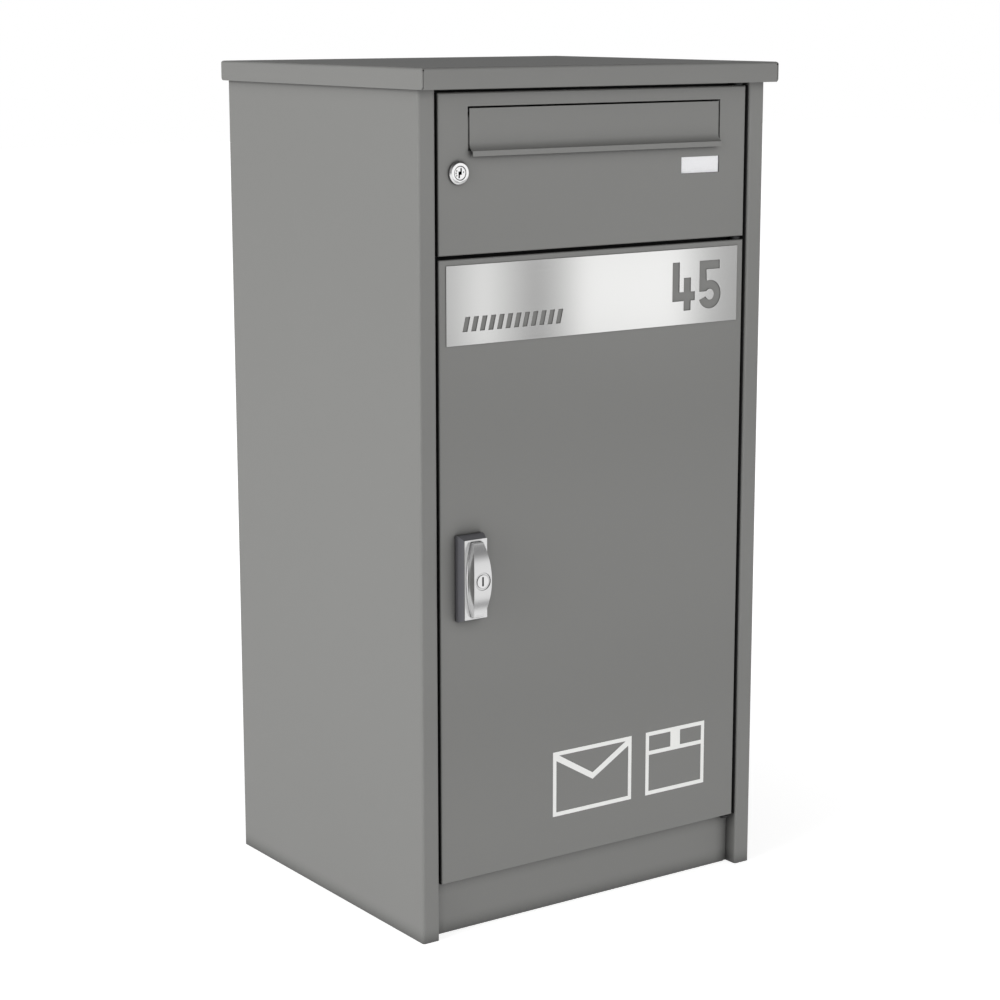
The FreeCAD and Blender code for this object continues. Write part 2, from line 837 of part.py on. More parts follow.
# ---------------------------------------------------------------- doors


def door_pan(name, low, high):
    """Door folded into a shallow pan with inward returns on its two long sides."""
    body = new_body(name)
    wall = D.sheet
    add(body, "XZ", door_face, D.door_depth, [rectangle(ZERO - door_half, low, door_half, high)])
    mouth = door_half - D.door_return
    open_back = rectangle(ZERO - mouth, low + wall, mouth, high - wall)
    cut(body, "XZ", door_back - wall, wall + MARGIN, [open_back])
    room = rectangle(wall - door_half, low + wall, door_half - wall, high - wall)
    cut(body, "XZ", door_face + wall, D.door_depth - wall * 2, [room])
    spots_x = [(door_face, low), (door_face, high)]
    spots_z = [(door_half, door_face), (ZERO - door_half, door_face)]
    round_edges(body, D.door_bend_radius, [("X", spots_x), ("Z", spots_z)])
    bends = [(door_half, door_back), (ZERO - door_half, door_back)]
    round_edges(body, D.return_bend_radius, [("Z", bends)])
    inner_bends = [(door_half - wall, door_back - wall), (wall - door_half, door_back - wall)]
    round_edges(body, D.return_bend_radius - wall, [("Z", inner_bends)])
    hole = [(hinge_x, hinge_y, D.bush_radius + D.fit_clearance)]
    cut(body, "XY", low - MARGIN, high - low + MARGIN * 2, [], hole)
    return body


def upper_door():
    """Letter door with its slot, lock hole and label cut-out."""
    body = door_pan("upper_door_pan", upper_bottom, upper_top)
    slot = rectangle(ZERO - slot_half, slot_bottom, slot_half, slot_top)
    rim = D.label_rim
    label = rectangle(label_left - rim, label_bottom - rim, label_right + rim, label_top + rim)
    hole = [(lock_x, lock_z, D.lock_body_radius + D.fit_clearance)]
    cut(body, "XZ", door_face - MARGIN, D.sheet + MARGIN * 2, [slot, label], hole)
    door_bushes("upper_door_bushes", upper_bottom, upper_top)


def lower_door():
    """Parcel door with the holes for its handle, and a hat section stiffener."""
    body = door_pan("lower_door_pan", lower_bottom, lower_top)
    screws = [(handle_x, handle_z + D.handle_screw_pitch / 2 * way, screw_hole) for way in SIDES]
    shaft = (handle_x, handle_z, D.shaft_radius + D.shaft_hole_clearance)
    cut(body, "XZ", door_face - MARGIN, D.sheet + MARGIN * 2, [], screws + [shaft])
    door_bushes("lower_door_bushes", lower_bottom, lower_top)
    stiffener = new_body("door_stiffener")
    crest = D.stiffener_width / 2
    foot = crest + D.stiffener_foot
    near = door_face + D.sheet
    far = near + D.stiffener_depth
    wall = D.sheet
    section = [
        (ZERO - foot, near),
        (ZERO - crest + wall, near),
        (ZERO - crest + wall, far - wall),
        (crest - wall, far - wall),
        (crest - wall, near),
        (foot, near),
        (foot, near + wall),
        (crest, near + wall),
        (crest, far),
        (ZERO - crest, far),
        (ZERO - crest, near + wall),
        (ZERO - foot, near + wall),
    ]
    start = lower_bottom + D.stiffener_margin
    add(stiffener, "XY", start, lower_top - D.stiffener_margin - start, [section])


# ---------------------------------------------------------------- letter flap


def flap():
    """Flap rolled outwards into a finger lip, with two ears on the hinge rod."""
    half = slot_half - D.flap_side_gap
    body = new_body("letter_flap", (ZERO, door_face, ZERO))
    top = slot_top - D.flap_top_gap
    cove = slot_bottom + D.flap_cove_rise
    lip = ZERO - D.flap_lip_reach
    wall = D.flap_sheet
    outer = D.flap_cove_radius
    inner = D.flap_cove_radius + wall
    lip_low = slot_bottom - D.flap_lip_drop
    lip_high = cove - root(outer * outer - (outer - D.flap_lip_reach) * (outer - D.flap_lip_reach))
    back_reach = outer - D.flap_lip_reach + wall
    back_high = cove - root(inner * inner - back_reach * back_reach)
    section = [
        (ZERO, top),
        (ZERO, cove, outer, -1),
        (lip, lip_high),
        (lip, lip_low),
        (lip + wall, lip_low),
        (lip + wall, back_high, inner, 1),
        (wall, cove),
        (wall, top),
    ]
    add(body, "YZ", ZERO - half, half * 2, [section])
    ear = D.flap_ear_radius
    for side in SIDES:
        start = half - D.flap_ear_inset if side > 0 else D.flap_ear_inset - half - wall
        path = [
            (wall / 2, rod_z - ear),
            (D.flap_axis_depth, rod_z - ear, ear, 1),
            (D.flap_axis_depth, rod_z + ear),
            (wall / 2, rod_z + ear - D.flap_ear_slope),
        ]
        add(body, "YZ", start, wall, [path])
    bore = D.rod_radius + D.fit_clearance
    cut(body, "YZ", ZERO - half - MARGIN, half * 2 + MARGIN * 2, [], [(D.flap_axis_depth, rod_z, bore)])


def flap_hinge():
    """Rod of the flap and the two brackets behind the door that hold it."""
    rod_half = slot_half + D.sheet
    rod = new_body("flap_hinge_rod", (ZERO, door_face + D.flap_axis_depth, rod_z))
    add(rod, "YZ", ZERO - rod_half, rod_half * 2, [], [(ZERO, ZERO, D.rod_radius)])
    brackets = new_body("flap_brackets", (ZERO, door_face, ZERO))
    low = rod_z - D.bracket_reach
    high = slot_top + D.frame_lap
    start = slot_half - D.bracket_overlap
    end = slot_half + D.bracket_width
    for side in SIDES:
        ear = rectangle(start, D.sheet, start + D.sheet, D.sheet + D.bracket_reach)
        foot = rectangle(start, D.sheet, end, D.sheet * 2)
        add(brackets, "XY", low, high - low, [mirrored(ear, side)])
        add(brackets, "XY", low, high - low, [mirrored(foot, side)])
    bore = D.rod_radius + D.fit_clearance
    for begin in (ZERO - end, start):
        cut(brackets, "YZ", begin, end - start, [], [(D.flap_axis_depth, rod_z, bore)])


def slot_frame():
    """U-shaped frame behind the slot that the flap closes against."""
    body = new_body("slot_frame", (ZERO, door_face + D.sheet, ZERO))
    inner = slot_half - D.frame_lap
    outer = inner + D.frame_border
    top = rod_z - D.bracket_reach - D.weld_gap
    bar_top = slot_bottom + D.frame_lap
    bar_low = bar_top - D.frame_border
    path = [
        (ZERO - outer, bar_low),
        (outer, bar_low),
        (outer, top),
        (inner, top),
        (inner, bar_top),
        (ZERO - inner, bar_top),
        (ZERO - inner, top),
        (ZERO - outer, top),
    ]
    add(body, "XZ", ZERO, D.sheet, [path])


# ---------------------------------------------------------------- name label


def name_label():
    """Clear window flush with the door, the blank card behind it and the holder that clips them."""
    rim = D.label_rim - D.label_gap
    window_back = door_face + D.sheet
    card_back = window_back + D.card_thickness
    low = (label_left - rim, door_face, label_bottom - rim)
    high = (label_right + rim, window_back, label_top + rim)
    new_box("label_window", low, high)
    new_box("label_card", (low[0], window_back, low[2]), (high[0], card_back, high[2]))
    holder = new_body("label_holder")
    wrap = D.holder_wrap
    outside = rectangle(label_left - wrap, label_bottom - wrap, label_right + wrap, label_top + wrap)
    add(holder, "XZ", window_back, D.holder_depth, [outside])
    gap = D.label_gap
    room = rectangle(low[0] - gap, low[2] - gap, high[0] + gap, high[2] + gap)
    cut(holder, "XZ", window_back, D.card_thickness + gap, [room])


# ---------------------------------------------------------------- letter door lock


def upper_lock():
    """Cam lock: housing and nut on the door, and the turning plug, cam and screw."""
    at = (lock_x, door_face, lock_z)
    bore = D.lock_plug_radius + D.fit_clearance
    rim = D.lock_flange_radius
    face = ZERO - D.lock_flange_height
    body_end = cam_front - D.lock_nose_gap - D.sheet
    housing = [
        (bore, face),
        (rim - D.lock_bevel, face),
        (rim, face + D.lock_bevel),
        (rim, ZERO),
        (D.lock_body_radius, ZERO),
        (D.lock_body_radius, body_end),
        (bore, body_end),
    ]
    turned("upper_lock_housing", "XY", [housing], at)
    nut = new_body("upper_lock_nut", at)
    thread = [(ZERO, ZERO, D.lock_body_radius + D.fit_clearance)]
    add(nut, "XZ", D.sheet, D.lock_nut_height, [hexagon(D.lock_nut_flats)], thread)
    tail = [
        (ZERO, face + D.lock_plug_recess),
        (D.lock_plug_radius, face + D.lock_plug_recess),
        (D.lock_plug_radius, cam_front),
        (D.cam_stub_radius, cam_front),
        (D.cam_stub_radius, cam_back),
        (D.cam_screw_radius, cam_back),
        (D.cam_screw_radius, cam_back - D.cam_screw_depth),
        (ZERO, cam_back - D.cam_screw_depth),
    ]
    plug = turned("upper_lock_plug", "XY", [tail], at)
    wide = D.keyway_width / 2
    tall = D.keyway_height / 2
    notch = D.keyway_notch
    step = D.keyway_step
    keyway = [
        (ZERO - wide, ZERO - tall),
        (wide - notch, ZERO - tall),
        (wide - notch, ZERO - step),
        (wide, ZERO),
        (wide, tall),
        (notch - wide, tall),
        (notch - wide, step),
        (ZERO - wide, ZERO),
    ]
    cut(plug, "XZ", face, D.keyway_depth, [keyway])
    cam_bar("upper_lock_cam", at, D.cam_reach, D.cam_stub_radius + D.fit_clearance)
    screw_tip = cam_back - D.cam_screw_depth + D.screw_tip_gap
    screw = [
        (ZERO, screw_tip),
        (D.cam_screw_radius - D.fit_clearance, screw_tip),
        (D.cam_screw_radius - D.fit_clearance, cam_back),
        (D.cam_screw_head_radius, cam_back),
        (D.cam_screw_head_radius, cam_back + D.cam_screw_head_height),
        (ZERO, cam_back + D.cam_screw_head_height),
    ]
    turned("upper_cam_screw", "XY", [screw], at)


def cam_bar(name, at, reach, hole):
    """Flat cam that hangs down while unlocked and turns behind the left door stop."""
    body = new_body(name, at)
    half = D.cam_width / 2
    path = [
        (half, ZERO, half, 1),
        (ZERO - half, ZERO),
        (ZERO - half, half - reach, half, 1),
        (half, half - reach),
    ]
    add(body, "XZ", cam_front, D.cam_thickness, [path], [(ZERO, ZERO, hole)])
    return body


# ---------------------------------------------------------------- parcel door handle


def handle_base():
    """Gasket, tapered base and bright face plate, held by two screws from inside the door."""
    at = (handle_x, door_face, handle_z)
    shaft = [(ZERO, ZERO, D.shaft_radius + D.fit_clearance)]
    screws = [(ZERO, D.handle_screw_pitch / 2 * way, screw_hole) for way in SIDES]
    wide = D.handle_width / 2
    tall = D.handle_length / 2
    gasket = new_body("handle_gasket", at)
    edge = D.gasket_inset
    pad = rectangle(edge - wide, edge - tall, wide - edge, tall - edge)
    wide_shaft = [(ZERO, ZERO, D.shaft_radius + D.shaft_hole_clearance)]
    add(gasket, "XZ", ZERO - D.gasket_thickness, D.gasket_thickness, [pad], wide_shaft + screws)
    base = new_body("handle_base", at)
    step_front = ZERO - D.gasket_thickness - D.handle_step
    front_level = D.face_thickness - D.handle_rise
    add(base, "XZ", step_front, D.handle_step, [rectangle(ZERO - wide, ZERO - tall, wide, tall)])
    narrow = D.handle_front_width / 2
    short = D.handle_front_length / 2
    sections = []
    for level, across, up in ((step_front, wide, tall), (front_level, narrow, short)):
        sketch = new_sketch(base, "XZ", level)
        draw(sketch, rectangle(ZERO - across, ZERO - up, across, up))
        sections.append(sketch)
    taper = base.newObject("PartDesign::AdditiveLoft", "handle_base_taper")
    taper.Profile = sections[0]
    taper.Sections = [sections[1]]
    doc.recompute()
    depth = ZERO - D.gasket_thickness - front_level
    cut(base, "XZ", front_level, depth, [], shaft)
    thread = [(x, y, D.handle_screw_radius + D.fit_clearance) for x, y, _ in screws]
    blind = ZERO - D.gasket_thickness - D.handle_screw_depth
    cut(base, "XZ", blind, D.handle_screw_depth, [], thread)
    face = new_body("handle_face", at)
    front_plate = rectangle(ZERO - narrow, ZERO - short, narrow, short)
    add(face, "XZ", ZERO - D.handle_rise, D.face_thickness, [front_plate], shaft)
    inside = D.sheet
    screw_tip = blind + D.screw_tip_gap
    screw = [
        (ZERO, screw_tip),
        (D.handle_screw_radius, screw_tip),
        (D.handle_screw_radius, inside),
        (D.handle_screw_head_radius, inside),
        (D.handle_screw_head_radius, inside + D.handle_screw_head_height),
        (ZERO, inside + D.handle_screw_head_height),
    ]
    low = (handle_x, door_face, handle_z - D.handle_screw_pitch / 2)
    body = turned("handle_screws", "XY", [screw], low)
    repeat(body, "Z", 2, D.handle_screw_pitch)


def handle_bow():
    """Bow grip: a lens from the front and an arc from the side, bored for the key plug."""
    body = new_body("handle_bow", (handle_x, door_face, handle_z))
    rear = ZERO - D.handle_rise - D.bow_gap
    apex = rear - D.bow_rise
    tall = D.bow_length / 2
    end = D.bow_end_width / 2
    bulge = (D.bow_width - D.bow_end_width) / 2
    side_radius = (tall * tall + bulge * bulge) / (bulge * 2)
    lens = [
        (end, ZERO - tall, side_radius, 1),
        (end, tall),
        (ZERO - end, tall, side_radius, 1),
        (ZERO - end, ZERO - tall),
    ]
    add(body, "XZ", apex, D.bow_rise, [lens])
    brow = rear - D.bow_end_rise
    crown = D.bow_rise - D.bow_end_rise
    crown_radius = (tall * tall + crown * crown) / (crown * 2)
    outside = [
        (brow, ZERO - tall, crown_radius, -1),
        (brow, tall),
        (brow, tall + MARGIN),
        (apex - MARGIN, tall + MARGIN),
        (apex - MARGIN, ZERO - tall - MARGIN),
        (brow, ZERO - tall - MARGIN),
    ]
    cut(body, "YZ", ZERO - D.bow_width, D.bow_width * 2, [outside])
    cut(body, "XZ", apex - MARGIN, D.key_ring_depth + MARGIN, [], [(ZERO, ZERO, D.key_ring_radius)])
    bore = [(ZERO, ZERO, D.key_plug_radius + D.fit_clearance)]
    cut(body, "XZ", apex - MARGIN, D.key_plug_depth + MARGIN, [], bore)
    plug_front = apex + D.key_plug_recess
    barrel = rectangle(ZERO, plug_front, D.key_plug_radius, apex + D.key_plug_depth - D.key_plug_gap)
    plug = turned("handle_lock_plug", "XY", [barrel], (handle_x, door_face, handle_z))
    wide = D.key_slot_width / 2
    slot_half_height = D.key_slot_height / 2
    slot = rectangle(ZERO - wide, ZERO - slot_half_height, wide, slot_half_height)
    cut(plug, "XZ", plug_front, D.key_slot_depth, [slot])


def handle_shaft():
    """Shaft from the bow through the door, with the latch cam and its nut."""
    at = (handle_x, door_face, handle_z)
    rear = ZERO - D.handle_rise - D.bow_gap
    shaft = new_body("handle_shaft", at)
    add(shaft, "XZ", rear, cam_front - rear, [], [(ZERO, ZERO, D.shaft_radius)])
    half = D.shaft_square / 2
    add(shaft, "XZ", cam_front, D.cam_thickness, [rectangle(ZERO - half, ZERO - half, half, half)])
    add(shaft, "XZ", cam_back, D.thread_length, [], [(ZERO, ZERO, D.thread_radius)])
    cam = cam_bar("latch_cam", at, D.latch_reach, D.thread_radius)
    hole = half + D.fit_clearance
    cut(cam, "XZ", cam_front, D.cam_thickness, [rectangle(ZERO - hole, ZERO - hole, hole, hole)])
    nut = new_body("latch_nut", at)
    thread = [(ZERO, ZERO, D.thread_radius + D.fit_clearance)]
    add(nut, "XZ", cam_back, D.latch_nut_height, [hexagon(D.latch_nut_flats)], thread)


# ---------------------------------------------------------------- number plate and pictogram


def digit_four(left, low):
    """Open figure four: no loose island when it is cut through a plate."""
    stroke = D.digit_stroke
    wide = D.digit_width
    high = low + D.digit_height
    bar = low + D.four_bar_rise
    stem = left + wide - stroke - D.four_stem_inset
    stem_top = bar + stroke + D.four_stem_top
    return [
        (left, high),
        (left, bar),
        (stem, bar),
        (stem, low),
        (stem + stroke, low),
        (stem + stroke, bar),
        (left + wide, bar),
        (left + wide, bar + stroke),
        (stem + stroke, bar + stroke),
        (stem + stroke, stem_top),
        (stem, stem_top),
        (stem, bar + stroke),
        (left + stroke, bar + stroke),
        (left + stroke, high),
    ]


def digit_five(left, low):
    """Figure five: a bar, a stem and a round bowl."""
    stroke = D.digit_stroke
    high = low + D.digit_height
    outer = D.digit_width / 2
    inner = outer - stroke
    middle = left + outer
    tail = math.radians(DIMENSIONS["five_tail_angle"])
    cosine = math.cos(tail)
    sine = math.sin(tail)
    centre = low + outer
    stem = left + D.five_side_margin
    bar_end = left + D.digit_width - D.five_top_margin
    return [
        (bar_end, high),
        (stem, high),
        (stem, centre + D.five_waist),
        (middle - D.five_waist_inset, centre + D.five_waist, inner, -1, "large"),
        (middle - inner * cosine, centre - inner * sine),
        (middle - outer * cosine, centre - outer * sine, outer, 1, "large"),
        (middle - D.five_shoulder, centre + D.five_shoulder_rise),
        (stem + stroke, high - stroke),
        (bar_end, high - stroke),
    ]


def number_plate():
    """Bright plate across the parcel door with a cut-through number and a row of slanted slots."""
    body = new_body("number_plate")
    reach = door_half - D.plate_side_margin
    top = lower_top - D.plate_top_margin
    low = top - D.plate_height
    start = door_face - D.plate_thickness
    add(body, "XZ", start, D.plate_thickness, [rectangle(ZERO - reach, low, reach, top)])
    five_left = reach - D.digit_right_margin - D.digit_width
    four_left = five_left - D.digit_space - D.digit_width
    digit_low = low + D.digit_low
    digits = [digit_four(four_left, digit_low), digit_five(five_left, digit_low)]
    cut(body, "XZ", start, D.plate_thickness, digits)
    tick_low = low + D.tick_low
    tick_high = tick_low + D.tick_height
    ticks = []
    for index in range(int(DIMENSIONS["tick_count"])):
        left = D.tick_left_margin - reach + D.tick_pitch * index
        ticks.append(
            [
                (left, tick_low),
                (left + D.tick_width, tick_low),
                (left + D.tick_width + D.tick_slant, tick_high),
                (left + D.tick_slant, tick_high),
            ]
        )
    cut(body, "XZ", start, D.plate_thickness, ticks)


def pictogram():
    """Thin sticker: a plain envelope and a plain parcel, both seen straight from the front."""
    body = new_body("pictogram_decal")
    line = D.decal_stroke
    low = lower_bottom + D.decal_low
    high = low + D.decal_height
    right = door_half - D.decal_right_margin
    left = right - D.parcel_width
    middle = (left + right) / 2
    lid = high - D.parcel_lid
    parcel = [
        rectangle(left, low, right, high),
        rectangle(left + line, low + line, right - line, lid - line),
        rectangle(left + line, lid, middle - D.tape_half_width, high - line),
        rectangle(middle + D.tape_half_width, lid, right - line, high - line),
    ]
    post_right = left - D.pictogram_space
    post_left = post_right - D.envelope_width
    centre = (post_left + post_right) / 2
    tip = high - D.envelope_fold
    corner = D.envelope_corner
    flap_low = high - line - D.envelope_slope
    envelope = [
        rectangle(post_left, low, post_right, high),
        [(post_left + corner, high - line), (centre, tip + line), (post_right - corner, high - line)],
        [
            (post_left + line, low + line),
            (post_right - line, low + line),
            (post_right - line, flap_low),
            (centre, tip - D.envelope_slope / 2),
            (post_left + line, flap_low),
        ],
    ]
    add(body, "XZ", door_face - D.decal_thickness, D.decal_thickness, parcel + envelope)


# ---------------------------------------------------------------- assembly

plinth_top = lower_bottom - D.lug_gap - D.lug_thickness - D.weld_gap * 2
anchor_x = inner_wall - D.weld_gap - D.anchor_inset
slot_half = D.slot_width / 2
slot_top = upper_top - D.slot_top_margin
slot_bottom = slot_top - D.slot_height
rod_z = slot_top - D.flap_axis_drop
label_right = slot_half - D.label_margin
label_left = label_right - D.label_width
label_bottom = slot_bottom - D.label_drop
label_top = label_bottom + D.label_height
lock_x = D.lock_inset - door_half
lock_z = slot_bottom - D.lock_drop
handle_x = D.handle_inset - door_half
handle_z = (lower_bottom + lower_top) / 2
screw_hole = D.handle_screw_radius + D.handle_screw_clearance

side_panel("left_side_panel", -1)
side_panel("right_side_panel", 1)
back_panel()
back_rivets()
access = [(anchor_x * side, D.anchor_pitch / 2 * end, D.access_radius) for side in SIDES for end in SIDES]
tray("floor_panel", floor_top, plinth_top - D.plinth_lap, access)
tray("letterbox_shelf", shelf_top, lower_top - D.door_lap)
floor_plugs()
plinth()
top_rail()
anchor_angle("anchor_angle_left", -1)
anchor_angle("anchor_angle_right", 1)
hood()
hood_fixings()
door_seal("lower_door_seal", lower_bottom, lower_top)
door_seal("upper_door_seal", upper_bottom, upper_top)
hinge_trim()

lug_levels = {
    "lower_hinge_lug": lower_bottom - D.lug_gap - D.lug_thickness,
    "middle_hinge_lug": lower_top + D.lug_gap,
    "upper_hinge_lug": upper_top + D.lug_gap,
}
for lug_name, lug_low in lug_levels.items():
    hinge_lug(lug_name, lug_low)
lower_lug = lug_levels["lower_hinge_lug"]
upper_lug_top = lug_levels["upper_hinge_lug"] + D.lug_thickness
lower_head = (lower_lug, lower_lug - D.pin_head_height)
upper_head = (upper_lug_top, upper_lug_top + D.pin_head_height)
hinge_pin("lower_hinge_pin", lower_lug, lower_bottom + D.pin_reach, lower_head)
hinge_pin("middle_hinge_pin", lower_top - D.pin_reach, upper_bottom + D.pin_reach)
hinge_pin("upper_hinge_pin", upper_top - D.pin_reach, upper_lug_top, upper_head)

upper_door()
flap()
flap_hinge()
slot_frame()
name_label()
upper_lock()
lower_door()
number_plate()
pictogram()
handle_base()
handle_bow()
handle_shaft()

doc.recompute()
for item in doc.Objects:
    if {"Invalid", "Error"} & set(item.State):
        raise RuntimeError(f"{item.Label}: {item.State}")
os.makedirs("parts", exist_ok=True)
for piece in pieces:
    if piece.Shape.isNull() or not piece.Shape.isValid():
        raise RuntimeError(f"{piece.Label}: no valid shape")
    piece.Shape.exportStep(f"parts/{piece.Label}.step")
    volume = piece.Shape.Volume / MM3_PER_CM3
    print(f"{piece.Label:22s} solids {len(piece.Shape.Solids):2d}  volume {volume:9.2f} cm3")
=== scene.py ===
"""Looks of a free-standing letter and parcel box: folded, powder-coated steel with bright metal fittings.

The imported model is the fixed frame. Its nodes keep their meshes and get their finishes here, and the pieces
that earn more shape than the frame holds are built around it. Everything is in metres, +Z up, the front
towards -Y. Names that end in _mm hold millimetres.
"""
import logging
import math
from dataclasses import dataclass
from enum import Enum

import bmesh
import bpy
from mathutils import Matrix, Vector


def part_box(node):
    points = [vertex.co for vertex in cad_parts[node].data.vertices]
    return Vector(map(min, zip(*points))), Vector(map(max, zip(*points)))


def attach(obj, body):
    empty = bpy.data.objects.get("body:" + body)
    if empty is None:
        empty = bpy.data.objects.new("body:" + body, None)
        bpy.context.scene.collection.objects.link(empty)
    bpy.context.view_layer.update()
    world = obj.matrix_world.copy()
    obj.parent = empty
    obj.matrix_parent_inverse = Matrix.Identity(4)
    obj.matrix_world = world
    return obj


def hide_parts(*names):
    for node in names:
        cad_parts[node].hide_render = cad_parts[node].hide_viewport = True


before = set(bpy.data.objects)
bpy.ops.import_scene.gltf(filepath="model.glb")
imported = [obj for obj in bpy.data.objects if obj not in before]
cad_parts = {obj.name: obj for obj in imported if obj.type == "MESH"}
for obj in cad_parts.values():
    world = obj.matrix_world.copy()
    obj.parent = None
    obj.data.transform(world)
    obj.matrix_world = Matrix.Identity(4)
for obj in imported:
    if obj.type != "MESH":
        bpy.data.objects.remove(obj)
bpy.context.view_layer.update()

MM = 0.001
# Points closer than this are one point.
SAME_SPOT = 1e-6
# Faces that meet at less than this angle are one face.
FLAT_ENOUGH = math.radians(0.5)
# Edges that turn more than this are rounded.
EDGE_TURN = math.radians(40)
# Steps round a circle that is seen from close by.
FULL_ROUND = 72
# Edges that turn more than this many degrees stay sharp: on cut metal, polished sheet and turned fasteners.
CRISP = 20.0
POLISHED = 35.0
TURNED = 50.0
log = logging.getLogger("letter_and_parcel_box")

Point = tuple[float, float, float]
Colour = tuple[float, float, float, float]
Outline = tuple[tuple[float, float], ...]
Node = bpy.types.Node
Socket = bpy.types.NodeSocket
Tree = bpy.types.NodeTree


# ---------------------------------------------------------------- colours and nodes


def linear(code: str) -> Colour:
    """Turn an sRGB hex value into a linear colour.

    Args:
        code: The colour as "#rrggbb".

    Returns:
        Linear red, green, blue and an alpha of one.
    """
    parts = [int(code[start : start + 2], 16) / 255 for start in (1, 3, 5)]
    light = [part / 12.92 if part <= 0.04045 else ((part + 0.055) / 1.055) ** 2.4 for part in parts]
    return (light[0], light[1], light[2], 1.0)


def add_node(tree: Tree, kind: str, settings: dict | None = None, **links: object) -> Node:
    """Add a node with its settings and links.

    Args:
        tree: The tree that gets the node.
        kind: The node's type.
        settings: Properties of the node, and inputs by name or number as ("in", key), with their value or
            source.
        **links: Inputs whose names are one word, with their value or source.

    Returns:
        The new node.
    """
    node = tree.nodes.new(kind)
    inputs: dict[object, object] = dict(links)
    for key, value in (settings or {}).items():
        if isinstance(key, tuple):
            inputs[key[1]] = value
        else:
            setattr(node, key, value)
    for key, value in inputs.items():
        socket = node.inputs[key]
        if isinstance(value, Socket):
            tree.links.new(value, socket)
        else:
            socket.default_value = value
    return node


# ---------------------------------------------------------------- finishes


@dataclass(frozen=True)
class Finish:
    """What every finish has: a name, a colour and a roughness, with a fine grain over it."""

    name: str
    colour: str
    roughness: float
    grain_mm: float
    grain_depth_mm: float
    tone: float = 0.06
    # Painted shade in gaps and inner corners, by ambient occlusion: its reach in mm (none at zero), the
    # occlusion that goes darkest and the one that stays open, the darkest share and the rays.
    painted_shade_mm: float = 0.0
    painted_shade_black: float = 0.2
    painted_shade_open: float = 0.92
    painted_shade_dimmest: float = 0.05
    painted_shade_rays: int = 6
    fine_share: float = 0.6
    wide_share: float = 0.4
    rough_swing: float = 0.12

    def build(self) -> bpy.types.Material:
        """Make the material of this finish.

        Returns:
            The finished material.
        """
        material = bpy.data.materials.new(self.name)
        material.use_nodes = True
        tree = material.node_tree
        shader = tree.nodes["Principled BSDF"]
        place = add_node(tree, "ShaderNodeTexCoord").outputs["Object"]
        self.dress(tree, shader, place)
        return material

    def dress(self, tree: Tree, shader: Node, place: Socket) -> None:
        """Give the shader its colour, roughness and grain.

        Args:
            tree: The material's node tree.
            shader: The principled shader.
            place: Where a point is on the piece, in metres.
        """
        grain = 1 / (self.grain_mm * MM)
        fine = add_node(tree, "ShaderNodeTexNoise", Vector=place, Scale=grain, Detail=2.0)
        wide = add_node(tree, "ShaderNodeTexNoise", Vector=place, Scale=6.0, Detail=2.0)
        self.blend_tones(tree, shader, fine.outputs["Fac"], wide.outputs["Fac"])
        # Painted shade in gaps and inner corners, where the finish gives it a reach.
        if self.painted_shade_mm:
            self.paint_shade(tree, shader)
        self.bump(tree, shader, fine.outputs["Fac"])

    def blend_tones(self, tree: Tree, shader: Node, fine: Socket, wide: Socket) -> None:
        """Vary the colour by a fine and a wide pattern, and the roughness by the fine one.

        Args:
            tree: The material's node tree.
            shader: The principled shader.
            fine: Pattern from 0 to 1 at the grain's scale.
            wide: Pattern from 0 to 1 over hand widths.
        """
        base = linear(self.colour)
        dark = tuple(part * (1 - self.tone) for part in base[:3]) + (1.0,)
        pale = tuple(min(part * (1 + self.tone), 1.0) for part in base[:3]) + (1.0,)
        part = add_node(
            tree,
            "ShaderNodeMath",
            {"operation": "MULTIPLY", ("in", 0): wide, ("in", 1): self.wide_share},
        ).outputs[0]
        share = add_node(
            tree,
            "ShaderNodeMath",
            {"operation": "MULTIPLY_ADD", ("in", 0): fine, ("in", 1): self.fine_share, ("in", 2): part},
        ).outputs[0]
        mix = add_node(
            tree,
            "ShaderNodeMix",
            {"data_type": "RGBA", ("in", 0): share, ("in", 6): dark, ("in", 7): pale},
        )
        tree.links.new(mix.outputs[2], shader.inputs["Base Color"])
        rough = add_node(
            tree,
            "ShaderNodeMapRange",
            {
                ("in", "Value"): fine,
                ("in", "To Min"): self.roughness * (1 - self.rough_swing),
                ("in", "To Max"): min(self.roughness * (1 + self.rough_swing), 1.0),
            },
        )
        tree.links.new(rough.outputs[0], shader.inputs["Roughness"])

    def bump(self, tree: Tree, shader: Node, height: Socket) -> None:
        """Raise the grain.

        Args:
            tree: The material's node tree.
            shader: The principled shader.
            height: Pattern from 0 to 1.
        """
        bump = add_node(tree, "ShaderNodeBump", Height=height, Distance=self.grain_depth_mm * MM)
        tree.links.new(bump.outputs[0], shader.inputs["Normal"])

    def paint_shade(self, tree: Tree, shader: Node) -> None:
        """Paint shade into gaps and inner corners: darken the colour where nearby surfaces hide the sky.

        Args:
            tree: The material's node tree.
            shader: The principled shader, with its colour linked.
        """
        toned = shader.inputs["Base Color"].links[0].from_socket
        # The painted shade: ambient occlusion turned into a darkening of the colour.
        near = add_node(
            tree,
            "ShaderNodeAmbientOcclusion",
            {"samples": self.painted_shade_rays, ("in", "Distance"): self.painted_shade_mm * MM},
        )
        share = add_node(
            tree,
            "ShaderNodeMapRange",
            {
                ("in", "Value"): near.outputs["AO"],
                ("in", "From Min"): self.painted_shade_black,
                ("in", "From Max"): self.painted_shade_open,
                ("in", "To Min"): self.painted_shade_dimmest,
            },
        )
        dim = add_node(
            tree,
            "ShaderNodeMix",
            {
                "data_type": "RGBA",
                "blend_type": "MULTIPLY",
                ("in", 0): 1.0,
                ("in", 6): toned,
                ("in", 7): share.outputs[0],
            },
        )
        tree.links.new(dim.outputs[2], shader.inputs["Base Color"])


